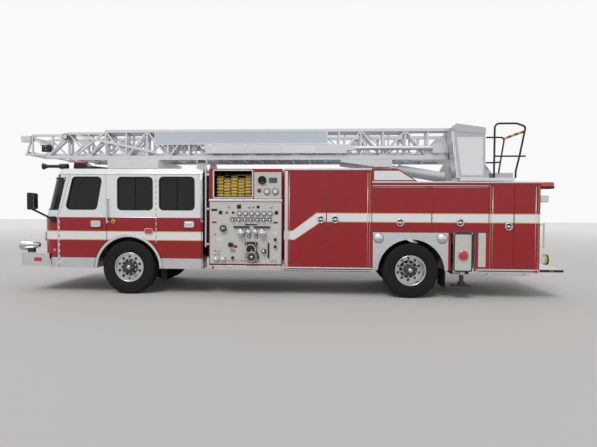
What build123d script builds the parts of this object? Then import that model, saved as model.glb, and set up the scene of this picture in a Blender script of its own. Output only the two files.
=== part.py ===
# Aerial-ladder fire engine with one rear axle, a four-door cab, an open pump panel and a
# three-section lattice ladder on a turntable at the rear.
# Millimetres. +X points to the rear, -Y to the driver's side, +Z up, and Z = 0 is the ground.
# Stations along X are measured from the front axle. finish() moves every piece to the part's
# own origin, under the middle of its length.
from build123d import *
import math
import os

os.makedirs("parts", exist_ok=True)

# driving dimensions
WHEELBASE = 5600
TIP_REACH = 2755          # ladder tip ahead of the front axle
TAIL_REACH = 2870         # tailboard end behind the rear axle
BODY_HALF = 1240          # half width over the body sides
CAB_HALF = BODY_HALF - 15  # half width over the cab sides
TYRE_R = 535
RIM_R = 286               # bead seat of a 22.5 inch rim
FRONT_TYRE_W = 310
TWIN_TYRE_W = 290
TWIN_GAP = 50
WHEEL_FACE = BODY_HALF - 15  # outermost sidewall from the centre line
SEAT = 0.3                # gap between pieces that rest on each other
DOOR_GAP = 8
DOOR_T = 45               # whole thickness of a cab door or cab wall
LOCKER_T = 40             # whole thickness of a locker door or locker wall
HINGE_R = 7               # hinge barrels on the doors' edges
REAR_AXLE = WHEELBASE
TURN_X = REAR_AXLE + 1500  # turntable axis
SHIFT_X = TIP_REACH - (TIP_REACH + WHEELBASE + TAIL_REACH) / 2

NODES = {}


def put(name, *solids):
    """Adds solids to the named piece."""
    NODES.setdefault(name, []).extend(solids)


def block(x0, x1, y0, y1, z0, z1):
    """Box between two corners."""
    return Pos((x0 + x1) / 2, (y0 + y1) / 2, (z0 + z1) / 2) * Box(x1 - x0, y1 - y0, z1 - z0)


def stand(sketch, y0, y1):
    """Flat drawing in x and z, given thickness from y0 to y1."""
    return Pos(0, y1, 0) * Rot(90, 0, 0) * extrude(sketch, amount=y1 - y0)


def outline(*corners):
    """Flat polygon through its corners."""
    return make_face(Polyline(*corners, close=True))


def side_plate(corners, y0, y1):
    """Plate with its outline in x and z."""
    return stand(outline(*corners), y0, y1)


def rounded(corners, radius):
    """Flat polygon with every corner rounded."""
    face = outline(*corners)
    return fillet(face.vertices(), radius)


def across(x, z, radius, y0, y1):
    """Round bar along Y."""
    return Pos(x, (y0 + y1) / 2, z) * Rot(90, 0, 0) * Cylinder(radius, y1 - y0)


def along(y, z, radius, x0, x1):
    """Round bar along X."""
    return Pos((x0 + x1) / 2, y, z) * Rot(0, 90, 0) * Cylinder(radius, x1 - x0)


def upright(x, y, radius, z0, z1):
    """Round bar along Z."""
    return Pos(x, y, (z0 + z1) / 2) * Cylinder(radius, z1 - z0)


def rod(a, b, radius):
    """Round bar between two points."""
    start, end = Vector(*a), Vector(*b)
    axis = end - start
    plane = Plane(origin=start, z_dir=axis.normalized())
    return plane * Pos(0, 0, axis.length / 2) * Cylinder(radius, axis.length)


def bar(a, b, width):
    """Flat strip of a given width between two points of a drawing."""
    dx, dz = b[0] - a[0], b[1] - a[1]
    length = math.hypot(dx, dz)
    nx, nz = -dz / length * width / 2, dx / length * width / 2
    return outline((a[0] + nx, a[1] + nz), (b[0] + nx, b[1] + nz),
                   (b[0] - nx, b[1] - nz), (a[0] - nx, a[1] - nz))


def mirrored(shape):
    """The same piece on the other side of the centre line."""
    return mirror(shape, about=Plane.XZ)


def ring(x, z, r_in, r_out, y0, y1):
    """Round ring about an axis along Y."""
    return across(x, z, r_out, y0, y1) - across(x, z, r_in, y0 - 1, y1 + 1)


# chassis
RAIL_OUT, RAIL_IN = 430, 345
RAIL_Z0, RAIL_Z1 = 700, 960
RAIL_X0, RAIL_X1 = -1630, REAR_AXLE + 2600
RAIL_WEB = 12
BUMPER_X0, BUMPER_X1 = -2300, -1638
NOSE_X0 = BUMPER_X0 + 28
NOSE_Z0, NOSE_Z1 = 610, 780
CROSS_Z0, CROSS_Z1 = 800, RAIL_Z1 - RAIL_WEB - SEAT
CROSS_X = [-1560, 1300, 2200, 3400, REAR_AXLE - 800, REAR_AXLE + 650, REAR_AXLE + 2300]
CROSS_W = 80
ENGINE = dict(x0=-700, x1=1100, y=330, z0=620, z1=1380)
PEDESTAL_HALF = 400
PEDESTAL_Z1 = 2190
PEDESTAL_WALL = 16
SLEW_R = 420
SLEW_Z1 = 2270

# outriggers, one beam behind the other under the frame
BEAM_W, BEAM_Z0, BEAM_Z1 = 130, 480, 670
BEAM_WALL = 12
BEAM_PLAY = 5
LEG_X = REAR_AXLE + 984
LEG_Y = BODY_HALF - 100
LEG_R = 62
BEAM_X = {"left": LEG_X - 84, "right": LEG_X + 84}
CASE_HALF_Y = LEG_Y - 100

TOW_EYE_R = 24
TOW_PLATE_T = 24
TOW_Y = RAIL_OUT - TOW_PLATE_T / 2
FRONT_TOW_DROP = 105      # eye centre below the nose, clear of the bumper's foot
REAR_TOW_DROP = 200       # eye centre below the rail, clear of the side runners
REAR_TOW_X = RAIL_X1 - 270


def tow_plate(x, y, top, drop):
    """Hanging tow eye with a bore along Y."""
    centre = top - drop
    edge = 2 * TOW_EYE_R
    plate = block(x - edge, x + edge, y - TOW_PLATE_T / 2, y + TOW_PLATE_T / 2, centre, top - SEAT)
    plate += across(x, centre, edge, y - TOW_PLATE_T / 2, y + TOW_PLATE_T / 2)
    return plate - across(x, centre, TOW_EYE_R, y - TOW_PLATE_T, y + TOW_PLATE_T)


def frame_rail():
    """Channel rail with its low front end, the cab mounts and an engine mount."""
    channel = outline((RAIL_IN, RAIL_Z0), (RAIL_OUT, RAIL_Z0), (RAIL_OUT, RAIL_Z1), (RAIL_IN, RAIL_Z1),
                      (RAIL_IN, RAIL_Z1 - RAIL_WEB), (RAIL_OUT - RAIL_WEB, RAIL_Z1 - RAIL_WEB),
                      (RAIL_OUT - RAIL_WEB, RAIL_Z0 + RAIL_WEB), (RAIL_IN, RAIL_Z0 + RAIL_WEB))
    rail = Pos(RAIL_X0, 0, 0) * (Plane.YZ * extrude(channel, amount=RAIL_X1 - RAIL_X0))
    rail += block(NOSE_X0, RAIL_X0 + 200, RAIL_IN, RAIL_OUT, NOSE_Z0, NOSE_Z1)
    for x in (-1500, 1250):
        rail += block(x, x + 100, RAIL_IN, RAIL_OUT, RAIL_Z1, CAB_FLOOR_Z0)
    return rail + block(-400, -300, ENGINE["y"], RAIL_OUT - RAIL_WEB, RAIL_Z0, RAIL_Z0 + 120)


def pedestal():
    """Hollow box that carries the slew ring."""
    half, inner = PEDESTAL_HALF, PEDESTAL_HALF - PEDESTAL_WALL
    post = block(TURN_X - half, TURN_X + half, -half, half, RAIL_Z1, PEDESTAL_Z1)
    return post - block(TURN_X - inner, TURN_X + inner, -inner, inner, RAIL_Z1 - 1, PEDESTAL_Z1 - PEDESTAL_WALL)


def outrigger_cases():
    """Two square tubes across the frame, side by side, with wear pads, hung from the rails."""
    cases = []
    for x in BEAM_X.values():
        reach = BEAM_W / 2 + BEAM_PLAY
        case = block(x - reach - BEAM_WALL, x + reach + BEAM_WALL, -CASE_HALF_Y, CASE_HALF_Y,
                     BEAM_Z0 - BEAM_PLAY - BEAM_WALL, BEAM_Z1 + BEAM_PLAY + BEAM_WALL)
        case -= block(x - reach, x + reach, -CASE_HALF_Y - 1, CASE_HALF_Y + 1,
                      BEAM_Z0 - BEAM_PLAY, BEAM_Z1 + BEAM_PLAY)
        for y in (-CASE_HALF_Y + 60, CASE_HALF_Y - 60):
            for z0, z1 in ((BEAM_Z0 - BEAM_PLAY, BEAM_Z0 - SEAT), (BEAM_Z1 + SEAT, BEAM_Z1 + BEAM_PLAY)):
                case += block(x - 40, x + 40, y - 50, y + 50, z0, z1)
        cases.append(case)
    pair = cases[0] + cases[1]
    for y in (-RAIL_OUT, RAIL_IN):
        pair += block(LEG_X - 150, LEG_X + 150, y, y + RAIL_OUT - RAIL_IN,
                      BEAM_Z1 + BEAM_PLAY + BEAM_WALL - 1, RAIL_Z0 - SEAT)
    return pair


def chassis_frame():
    """Ladder frame with cross members, turntable pedestal, outrigger cases and tow eyes."""
    rail = frame_rail()
    put("chassis_frame", rail, mirrored(rail))
    for x in CROSS_X:
        reach = RAIL_OUT - RAIL_WEB - SEAT
        put("chassis_frame", block(x, x + CROSS_W, -reach, reach, CROSS_Z0, CROSS_Z1))
    put("chassis_frame", block(NOSE_X0, NOSE_X0 + 60, -RAIL_IN + SEAT, RAIL_IN - SEAT, NOSE_Z0, NOSE_Z1))
    put("chassis_frame", pedestal(), upright(TURN_X, 0, SLEW_R, PEDESTAL_Z1 + SEAT, SLEW_Z1), outrigger_cases())
    for y in (-RAIL_OUT, RAIL_IN):
        put("chassis_frame", block(BODY_X1 + 50, BODY_X1 + 150, y, y + RAIL_OUT - RAIL_IN,
                                   TAIL_Z1 + SEAT, RAIL_Z0 - SEAT))
    for y in (-TOW_Y, TOW_Y):
        put("chassis_frame", tow_plate(NOSE_X0 + 75, y, NOSE_Z0, FRONT_TOW_DROP))
        put("chassis_frame", tow_plate(REAR_TOW_X, y, RAIL_Z0, REAR_TOW_DROP))
    put("engine", block(ENGINE["x0"], ENGINE["x1"], -ENGINE["y"], ENGINE["y"], ENGINE["z0"], ENGINE["z1"]))


# front end
BUMPER_Z0, BUMPER_Z1 = 550, 809
BUMPER_HALF = BODY_HALF - 5
BUMPER_CHAMFER = 130
BUMPER_T = 14
GRILLE = (430, 960, 1420)  # half width, low and high edge
GRILLE_T = 28
GRILLE_SLOTS = 5


def front_bumper():
    """Channel bumper with a closed deck, open below and behind, and the slotted grille above it."""
    def plan(inset):
        x1 = BUMPER_X1 + inset
        return outline((BUMPER_X0 + inset, -BUMPER_HALF + BUMPER_CHAMFER + inset / 2),
                       (BUMPER_X0 + BUMPER_CHAMFER + inset / 2, -BUMPER_HALF + inset), (x1, -BUMPER_HALF + inset),
                       (x1, BUMPER_HALF - inset), (BUMPER_X0 + BUMPER_CHAMFER + inset / 2, BUMPER_HALF - inset),
                       (BUMPER_X0 + inset, BUMPER_HALF - BUMPER_CHAMFER - inset / 2))
    shell = Pos(0, 0, BUMPER_Z0) * extrude(plan(0), amount=BUMPER_Z1 - BUMPER_Z0)
    shell -= Pos(0, 0, BUMPER_Z0 - 1) * extrude(plan(BUMPER_T), amount=NOSE_Z1 + 1 - BUMPER_Z0)
    put("front_bumper", shell)
    half, z0, z1 = GRILLE
    face = CAB_FRONT[0][1] - SEAT
    grille = block(face - GRILLE_T, face, -half, half, z0, z1)
    pitch = (z1 - z0 - 40) / GRILLE_SLOTS
    for k in range(GRILLE_SLOTS):
        low = z0 + 40 + k * pitch
        grille -= block(face - GRILLE_T - 1, face + 1, -half + 40, half - 40, low, low + pitch - 40)
    put("front_bumper", grille)


# cab
CAB_Z0, CAB_Z1 = 521, 2516
CAB_X1 = 1512
CAB_FLOOR_Z0, CAB_FLOOR_Z1 = 975, 1015
CAB_NOSE_Z = 815          # the cab front ends above the bumper
CORNER_R = 360            # plan radius of the front corners
GUTTER_Z = 2400           # the roof leans in above the gutter
ROOF_IN = 60
# height and station of the front face
CAB_FRONT = [(CAB_Z0, -1847), (1540, -1847), (1659, -1807), (2384, -1624), (CAB_Z1, -1509)]
ARCH_R = 660
ARCH_Z = 510
ARCH_LINER = 20
TRIM_R0, TRIM_R1 = 640, 690
TUNNEL = dict(x0=-850, x1=1180, y=400, z1=1440)
TUNNEL_WALL = 20
STEP_Y = 880              # inner face of the step wells
FRONT_DOOR = [(-1193, 2400), (-458, 2400), (-458, CAB_Z0), (-1428, CAB_Z0), (-1428, 1640), (-1402, 1640)]
CREW_DOOR = [(568, 2400), (1480, 2400), (1480, CAB_Z0), (568, CAB_Z0)]
FRONT_WINDOW = [(-1132, 2341), (-541, 2341), (-661, 1702), (-1289, 1702)]
MIDDLE_WINDOW = [(-213, 2338), (490, 2338), (490, 1696), (-213, 1696)]
CREW_WINDOW = [(642, 2341), (1337, 2341), (1337, 1698), (642, 1698)]
WINDOW_R = 75
GLASS_T = 8
SCREEN = [(-2100, 1690), (-1450, 1690), (-1290, 2330), (-2100, 2330)]
SCREEN_POST = 40          # half width of the middle post
DOOR_ARCH_R = TRIM_R1 + 22   # the crew door swings clear of the trim
CAB_ROOF_Z0 = CAB_Z1 - DOOR_T
FRONT_PART_X = -1440      # the front panel meets the sides here
DOORS = {"front": (FRONT_DOOR, FRONT_WINDOW), "crew": (CREW_DOOR, CREW_WINDOW)}


def cab_body(inset):
    """Closed cab volume, drawn in by the inset: raked slabs inside the limits of sides and roof."""
    half = CAB_HALF - inset
    tail = CAB_X1 + 400
    body = None
    for (z0, front), (z1, next_front) in zip(CAB_FRONT, CAB_FRONT[1:]):
        plan = outline((front + inset, -half), (tail, -half), (tail, half), (front + inset, half))
        corners = plan.vertices().sort_by(Axis.X)[:2]
        plan = Pos(0, 0, z0) * fillet(corners, CORNER_R - inset)
        rake = Vector(next_front - front, 0, z1 - z0)
        slab = extrude(plan, amount=rake.length, dir=rake.normalized())
        body = slab if body is None else body + slab
    top = CAB_Z1 - inset
    edge = half - ROOF_IN * (top - GUTTER_Z) / (CAB_Z1 - GUTTER_Z)
    sides = outline((-half, CAB_Z0 - 1), (half, CAB_Z0 - 1), (half, GUTTER_Z), (edge, top),
                    (-edge, top), (-half, GUTTER_Z))
    limits = Pos(-2100, 0, 0) * (Plane.YZ * extrude(sides, amount=2100 + CAB_X1 - inset))
    return body & limits


def window_cut(corners, y0, y1, slack=0):
    """Cut, or pane, with rounded corners on the driver's side."""
    face = rounded(corners, WINDOW_R)
    if slack:
        face = offset(face, amount=-slack)
    return stand(face, y0, y1)


def cab_panels(shell):
    """The cab parted where its panels meet: roof, rear wall, front, floor with the tunnel, both sides."""
    wide, inner_y = CAB_HALF + 100, CAB_HALF - DOOR_T
    rear_x, floor_z = CAB_X1 - DOOR_T, TUNNEL["z1"] + 5
    side = block(FRONT_PART_X, rear_x, -wide, -inner_y, CAB_Z0 - 1, CAB_ROOF_Z0)
    side += block(FRONT_PART_X, rear_x, -inner_y - 1, -inner_y + ROOF_IN, floor_z, CAB_ROOF_Z0)
    regions = [block(-2300, CAB_X1 + 1, -wide, wide, CAB_ROOF_Z0, CAB_Z1 + 1),
               block(rear_x, CAB_X1 + 1, -wide, wide, CAB_Z0 - 1, CAB_ROOF_Z0),
               block(-2300, FRONT_PART_X, -wide, wide, CAB_Z0 - 1, CAB_ROOF_Z0),
               block(FRONT_PART_X, rear_x, -inner_y, inner_y, CAB_Z0 - 1, floor_z),
               side, mirrored(side)]
    return [shell & region for region in regions]


def cab_shell():
    """Hollow cab with its roof, floor, engine tunnel, wheel wells and step wells."""
    inner_y = CAB_HALF - DOOR_T
    shell = cab_body(0)
    room = cab_body(DOOR_T) & block(-2000, CAB_X1, -CAB_HALF, CAB_HALF, CAB_FLOOR_Z1, CAB_Z1)
    well = across(0, ARCH_Z, ARCH_R + ARCH_LINER, STEP_Y - 450, CAB_HALF)
    room -= well + mirrored(well)
    room -= block(TUNNEL["x0"], TUNNEL["x1"], -TUNNEL["y"], TUNNEL["y"], CAB_Z0, TUNNEL["z1"])
    shell -= room
    # space under the floor, with the tunnel and the wheel arches
    shell -= block(CAB_FRONT[0][1] + DOOR_T, CAB_X1 + 1, -STEP_Y, STEP_Y, CAB_Z0 - 1, CAB_FLOOR_Z0)
    shell -= block(TUNNEL["x0"] + TUNNEL_WALL, TUNNEL["x1"] - TUNNEL_WALL, -TUNNEL["y"] + TUNNEL_WALL,
                   TUNNEL["y"] - TUNNEL_WALL, CAB_FLOOR_Z0 - 1, TUNNEL["z1"] - TUNNEL_WALL)
    arch = across(0, ARCH_Z, ARCH_R, STEP_Y - 450 + ARCH_LINER, CAB_HALF + 1)
    shell -= arch + mirrored(arch)
    # step wells behind the doors, two treads each
    for x0, x1 in ((-1385, -720), (720, 1450)):
        for z0, z1 in ((CAB_Z0 + 30, 745), (765, CAB_FLOOR_Z1)):
            depth = STEP_Y + 30 if z0 < 700 else STEP_Y + 130
            cut = block(x0, x1, depth, inner_y + 1, z0, z1)
            shell -= cut + mirrored(cut)
    shell -= block(-2300, -1628, -CAB_HALF - 1, CAB_HALF + 1, CAB_Z0 - 1, CAB_NOSE_Z)
    for corners, _ in DOORS.values():
        door_gap = stand(offset(outline(*corners), amount=DOOR_GAP, kind=Kind.INTERSECTION),
                         -CAB_HALF - 1, -inner_y)
        keep = across(0, ARCH_Z, DOOR_ARCH_R - DOOR_GAP, -CAB_HALF - 2, -inner_y + 1)
        door_gap -= keep
        shell -= door_gap + mirrored(door_gap)
    middle = window_cut(MIDDLE_WINDOW, -CAB_HALF - 1, -inner_y + 1)
    shell -= middle + mirrored(middle)
    screen = stand(rounded(SCREEN, 60), -CAB_HALF - 1, CAB_HALF + 1)
    screen -= block(-2100, -1200, -SCREEN_POST, SCREEN_POST, CAB_Z0, CAB_Z1)
    shell -= screen
    foot = mirror_foot(SEAT)
    shell -= foot + mirrored(foot)
    put("cab_shell", *cab_panels(shell))
    pane = window_cut(MIDDLE_WINDOW, -CAB_HALF + 12, -CAB_HALF + 12 + GLASS_T, SEAT)
    glass = cab_body(12) - cab_body(12 + GLASS_T)
    glass &= stand(offset(rounded(SCREEN, 60), amount=-SEAT), -CAB_HALF - 1, CAB_HALF + 1)
    left = glass & block(-2100, -1200, -CAB_HALF - 1, -SCREEN_POST - SEAT, 1600, 2400)
    right = glass & block(-2100, -1200, SCREEN_POST + SEAT, CAB_HALF + 1, 1600, 2400)
    put("cab_glass", pane, mirrored(pane), left, right)


def cab_doors():
    """Four flush doors, cut off by the wheel arch, each with its pane."""
    for name, (corners, window) in DOORS.items():
        door = side_plate(corners, -CAB_HALF, -CAB_HALF + DOOR_T)
        door -= across(0, ARCH_Z, DOOR_ARCH_R, -CAB_HALF - 1, -CAB_HALF + DOOR_T + 1)
        door -= window_cut(window, -CAB_HALF - 1, -CAB_HALF + DOOR_T + 1)
        hx, hz = DOOR_HANDLES[name]
        door += block(hx - 92, hx + 92, -CAB_HALF - 34, -CAB_HALF + 1, hz - 58, hz + 58)
        door += upright(*DOOR_HINGES[name])
        pane = window_cut(window, -CAB_HALF + 16, -CAB_HALF + 16 + GLASS_T, SEAT)
        put(name + "_door_left", door)
        put(name + "_door_right", mirrored(door))
        put(name + "_door_glass_left", pane)
        put(name + "_door_glass_right", mirrored(pane))


DOOR_HANDLES = {"front": (-657, 1411), "crew": (1247, 1411)}
# hinge barrels on the doors' front edges
DOOR_HINGES = {"front": (FRONT_DOOR[3][0], -CAB_HALF, HINGE_R, CAB_Z0 + 20, 1600),
               "crew": (CREW_DOOR[3][0], -CAB_HALF, HINGE_R, 1000, 2360)}

# cab fittings
FRONT_SEAT_Y = 770
BENCH_HALF = 860
BENCH_BACKS = (-645, -215, 215, 645)
DASH = [(-1755, CAB_FLOOR_Z1), (-1430, CAB_FLOOR_Z1), (-1430, 1180), (-1340, 1420), (-1370, 1560), (-1750, 1590)]
DASH_HALF = 1000
WHEEL_AT = (-1130, -770, 1600)
STEERING_R = 220


def cab_interior():
    """Dash with steering wheel, front seats and the rear bench."""
    dash = side_plate(DASH, -DASH_HALF, DASH_HALF)
    x, y, z = WHEEL_AT
    tilt = Pos(x, y, z) * Rot(0, -28, 0)
    wheel = tilt * Torus(STEERING_R, 16)
    for turn in (0, 120, 240):
        spoke = Rot(0, 0, turn) * Pos(STEERING_R / 2, 0, 0) * Box(STEERING_R, 34, 12)
        wheel += tilt * spoke
    wheel += rod((x, y, z), (-1370, y, 1380), 30)
    put("cab_interior", dash + wheel)
    for side in (-1, 1):
        y = side * FRONT_SEAT_Y
        cushion = block(-1010, -560, y - 230, y + 230, 1200, 1330)
        cushion += block(-960, -610, y - 160, y + 160, CAB_FLOOR_Z1, 1201)
        cushion += side_plate([(-690, 1320), (-560, 1320), (-480, 1990), (-570, 1990)], y - 220, y + 220)
        put("cab_interior", cushion)
    bench = block(1020, CAB_X1 - DOOR_T, -BENCH_HALF, BENCH_HALF, 1460, 1520)
    bench += block(1190, CAB_X1 - DOOR_T, -BENCH_HALF, BENCH_HALF, CAB_FLOOR_Z1, 1461)
    for y in BENCH_BACKS:
        bench += block(1380, CAB_X1 - DOOR_T, y - 190, y + 190, 1519, 2050)
    put("cab_interior", bench)


# outside of the cab
MIRROR_FOOT = dict(x=-1548, z=1491, y=CAB_HALF - 50)
MIRROR_Y = CAB_HALF + 170


def mirror_foot(slack):
    """Bracket block let into the front corner of the cab, on the driver's side."""
    x, z = MIRROR_FOOT["x"], MIRROR_FOOT["z"]
    return block(x - 45 - slack, x + 45 + slack, -CAB_HALF - 30, -MIRROR_FOOT["y"] + slack,
                 z - 60 - slack, z + 60 + slack)


def mirrors():
    """Mirror heads on tubular arms at both front corners."""
    x, z = MIRROR_FOOT["x"], MIRROR_FOOT["z"]
    arm = mirror_foot(0)
    arm += rod((x, -CAB_HALF - 10, z), (-1890, -MIRROR_Y, 1700), 20)
    arm += rod((-1890, -MIRROR_Y, 1690), (-1890, -MIRROR_Y, 1990), 16)
    head = outline((-1924, 1678), (-1802, 1700), (-1802, 2010), (-1924, 2026))
    arm += stand(fillet(head.vertices(), 30), -MIRROR_Y - 105, -MIRROR_Y + 65)
    put("mirrors", arm, mirrored(arm))


LIGHT_BAR = (-1437, 48, -1080, CAB_HALF - 185)  # inner end and outer end of an arm
REAR_LAMP_Y = BODY_HALF - 160
HEADLAMP = (560, 850, 1010, 1260)


def warning_lights():
    """Swept light bar on the cab roof, headlamps, rear beacons and work lights."""
    x0, y0, x1, y1 = LIGHT_BAR
    angle = math.degrees(math.atan2(y1 - y0, x1 - x0))
    length = math.hypot(x1 - x0, y1 - y0)
    place = Pos((x0 + x1) / 2, (y0 + y1) / 2, CAB_Z1) * Rot(0, 0, angle)
    arm = place * Pos(0, 0, 42) * Box(length, 250, 50)
    for k in range(4):
        dome = Box(length / 4 - 24, 236, 92)
        dome = fillet(dome.edges().group_by(Axis.Z)[-1], 34)
        arm += place * Pos((k - 1.5) * length / 4, 0, 66 + 46) * dome
    for k in (-1, 1):
        arm += place * Pos(k * length * 0.36, 0, 10) * Box(60, 120, 20)
    put("warning_lights", arm, mirrored(arm))
    low_y, high_y, low_z, high_z = HEADLAMP
    face = CAB_FRONT[0][1] - SEAT
    lamp = Pos(face - 20, -(low_y + high_y) / 2, (low_z + high_z) / 2) * Box(40, high_y - low_y, high_z - low_z)
    lamp = fillet(lamp.edges().filter_by(Axis.X), 24)
    put("warning_lights", lamp, mirrored(lamp))
    for side in (-1, 1):
        y = side * REAR_LAMP_Y
        lamp = block(BODY_X1, BODY_X1 + 60, y - 60, y + 60, 2137, 2170)
        beacon = block(BODY_X1 + 11, TAIL_X1 - 191, y - 120, y + 120, 2150, 2175)
        dome = Pos(BODY_X1 + 140, y, 2175 + 42) * Box(250, 232, 84)
        lamp += beacon + fillet(dome.edges().group_by(Axis.Z)[-1], 36)
        put("warning_lights", lamp)
        work = block(BODY_X1, BODY_X1 + 50, y - 25, y + 25, 1915, 1965)
        work += block(BODY_X1 + 40, BODY_X1 + 175, y - 90, y + 90, 1880, 2000)
        put("warning_lights", work)


HORN_Y, HORN_Z = CAB_HALF - 185, CAB_Z1 + 59
SIREN_Y, SIREN_Z = BUMPER_HALF - 225, 960


def horns():
    """Two air horns with their chambers on the roof edge, and the siren on the bumper."""
    bell = revolve(outline((0, 0), (68, 0), (54, 34), (32, 100), (32, 357), (55, 357), (55, 520), (0, 520)), Axis.Y)
    horn = Pos(-1860, -HORN_Y, HORN_Z) * Rot(0, 0, -90) * bell
    horn += block(-1425, -1385, -HORN_Y - 20, -HORN_Y + 20, CAB_Z1, HORN_Z)
    put("horns", horn, mirrored(horn))
    body = revolve(outline((0, 0), (108, 0), (115, 20), (115, 90), (95, 130), (88, 260), (40, 395), (0, 395)), Axis.Y)
    siren = Pos(BUMPER_X0 - 55, -SIREN_Y, SIREN_Z) * Rot(0, 0, -90) * body
    siren += block(BUMPER_X0 + 90, BUMPER_X0 + 220, -SIREN_Y - 45, -SIREN_Y + 45, BUMPER_Z1, SIREN_Z)
    put("horns", siren)


RAIL_TUBE_R = 16
POLE_X, POLE_R = 1570, 20
POLE_LAMP = (1400, 1600, 2600, 2700)


def held_rail(x, y, z0, z1, inward, pegs):
    """Upright tube with the pegs that hold it off a wall; inward points from the tube to the wall."""
    pieces = [upright(x, y, RAIL_TUBE_R, z0, z1)]
    for z in pegs:
        a = Vector(x, y, z) + inward.normalized() * (RAIL_TUBE_R + SEAT)
        b = Vector(x, y, z) + inward
        pieces.append(rod((a.X, a.Y, a.Z), (b.X, b.Y, b.Z), 12))
    return pieces


def grab_rails():
    """Stainless rails beside the doors, the pole behind the cab with its side lamp, and the rear rails."""
    off = 45
    rail = held_rail(-422, -CAB_HALF - off, 1425, 1936, Vector(0, off, 0), (1450, 1911))
    pole_y = CAB_HALF - 20
    rail.append(upright(POLE_X, -pole_y, POLE_R, 962, POLE_LAMP[2] - SEAT))
    for z in (1000, 1700, 2380):
        rail.append(block(POLE_X + POLE_R + SEAT, PUMP_X0, -pole_y - 12, -pole_y + 12, z, z + 40))
    x0, x1, z0, z1 = POLE_LAMP
    rail.append(block(x0, x1, -pole_y - 35, -pole_y + 55, z0, z1))
    rail += held_rail(BODY_X1 + 100, -BODY_HALF + 60, 1000, 1480, Vector(-100, 0, 0), (1030, 1450))
    put("grab_rails", *rail)
    put("grab_rails", *[mirrored(piece) for piece in rail])


# axles and wheels
FRONT_TYRE_Y = WHEEL_FACE - FRONT_TYRE_W / 2
PIN_Y = WHEEL_FACE - 365  # king pin from the centre line
PIN_R = 25
SPINDLE_R = 45
HUB_R = 100
DRUM_R = 205
BOSS_R = 38
YOKE = dict(half=40, y0=PIN_Y - 45, y1=PIN_Y + 65, low=430, high=640, thick=42)
BEAM_HALF = 45
BOSS_NECK = 68.8           # neck from a boss into the beam
SHAFT_Z = 720              # output of the gearbox
BEAM_Z = (490, 590)
SPRING_Y0, SPRING_Y1 = 350, 425
BEAD = 0.36               # half spacing of the beads as a share of the tyre width
RUN = 0.3                 # running clearance on shafts


def tyre_ring(width):
    """Tyre section with straight beads, round sidewalls and shoulders, turned about Y."""
    half = width / 2
    bead = width * BEAD
    rise = TYRE_R - RIM_R
    edges = [Line((bead, RIM_R, 0), (bead, RIM_R + 16, 0)),
             ThreePointArc((bead, RIM_R + 16, 0), (half, RIM_R + rise * 0.46, 0), (half - 16, TYRE_R - 30, 0)),
             ThreePointArc((half - 16, TYRE_R - 30, 0), (half - 26, TYRE_R - 9, 0), (half - 48, TYRE_R, 0)),
             Line((half - 48, TYRE_R, 0), (0, TYRE_R, 0)), Line((0, TYRE_R, 0), (0, RIM_R, 0)),
             Line((0, RIM_R, 0), (bead, RIM_R, 0))]
    side = revolve(make_face(edges), Axis.X)
    both = side + mirror(side, about=Plane.YZ)
    return Rot(0, 0, 90) * both


def rim_barrel(width):
    """Rim barrel with its two flanges, about Y."""
    bead = width * BEAD
    barrel = ring(0, 0, RIM_R - 14, RIM_R - SEAT, -bead - 12, bead + 12)
    for y0, y1 in ((-bead - 12, -bead - SEAT), (bead + SEAT, bead + 12)):
        barrel += ring(0, 0, RIM_R - 14, RIM_R + 13, y0, y1)
    return barrel


def wheel_disc(y0, y1, r_in):
    """Disc with ten hand holes."""
    disc = ring(0, 0, r_in, RIM_R - 10, y0, y1)
    for k in range(10):
        angle = math.radians(36 * k + 18)
        disc -= across(215 * math.cos(angle), 215 * math.sin(angle), 28, y0 - 1, y1 + 1)
    return disc


def wheels():
    """Single front wheels and twin rear wheels, on both sides."""
    at_front = Pos(0, -FRONT_TYRE_Y, TYRE_R)
    tyre = at_front * tyre_ring(FRONT_TYRE_W)
    rim = rim_barrel(FRONT_TYRE_W) + wheel_disc(-95, -80, HUB_R - 1)
    rim += ring(0, 0, SPINDLE_R + RUN, HUB_R, -120, 100)
    rim += across(0, 0, 88, -150, -119)
    rim += ring(0, 0, HUB_R - 2, DRUM_R, 30, 60) + ring(0, 0, DRUM_R - 16, DRUM_R, 30, 125)
    rim = at_front * rim
    for name, piece in (("front_tyre", tyre), ("front_rim", rim)):
        put(name + "_left", piece)
        put(name + "_right", mirrored(piece))
    outer = WHEEL_FACE - TWIN_TYRE_W / 2
    inner = outer - TWIN_TYRE_W - TWIN_GAP
    rings = [Pos(REAR_AXLE, -y, TYRE_R) * tyre_ring(TWIN_TYRE_W) for y in (outer, inner)]
    rim = Pos(0, -outer, 0) * rim_barrel(TWIN_TYRE_W) + Pos(0, -inner, 0) * rim_barrel(TWIN_TYRE_W)
    middle = -(outer + inner) / 2
    rim += wheel_disc(middle - 12, middle + 12, HUB_R + 10 - 1)
    rim += ring(0, 0, RIM_R - 14, RIM_R - 2, middle - 60, middle + 60)
    rim += ring(0, 0, SPINDLE_R + 15 + RUN, HUB_R + 10, -outer - 60, middle + 220)
    rim += across(0, 0, 95, -outer - 95, -outer - 59)
    rim += ring(0, 0, HUB_R + 8, DRUM_R, middle + 60, middle + 80)
    rim += ring(0, 0, DRUM_R - 16, DRUM_R, middle + 60, middle + 230)
    rim = Pos(REAR_AXLE, 0, TYRE_R) * rim
    put("rear_tyres_left", *rings)
    put("rear_tyres_right", *[mirrored(piece) for piece in rings])
    put("rear_rims_left", rim)
    put("rear_rims_right", mirrored(rim))


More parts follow.
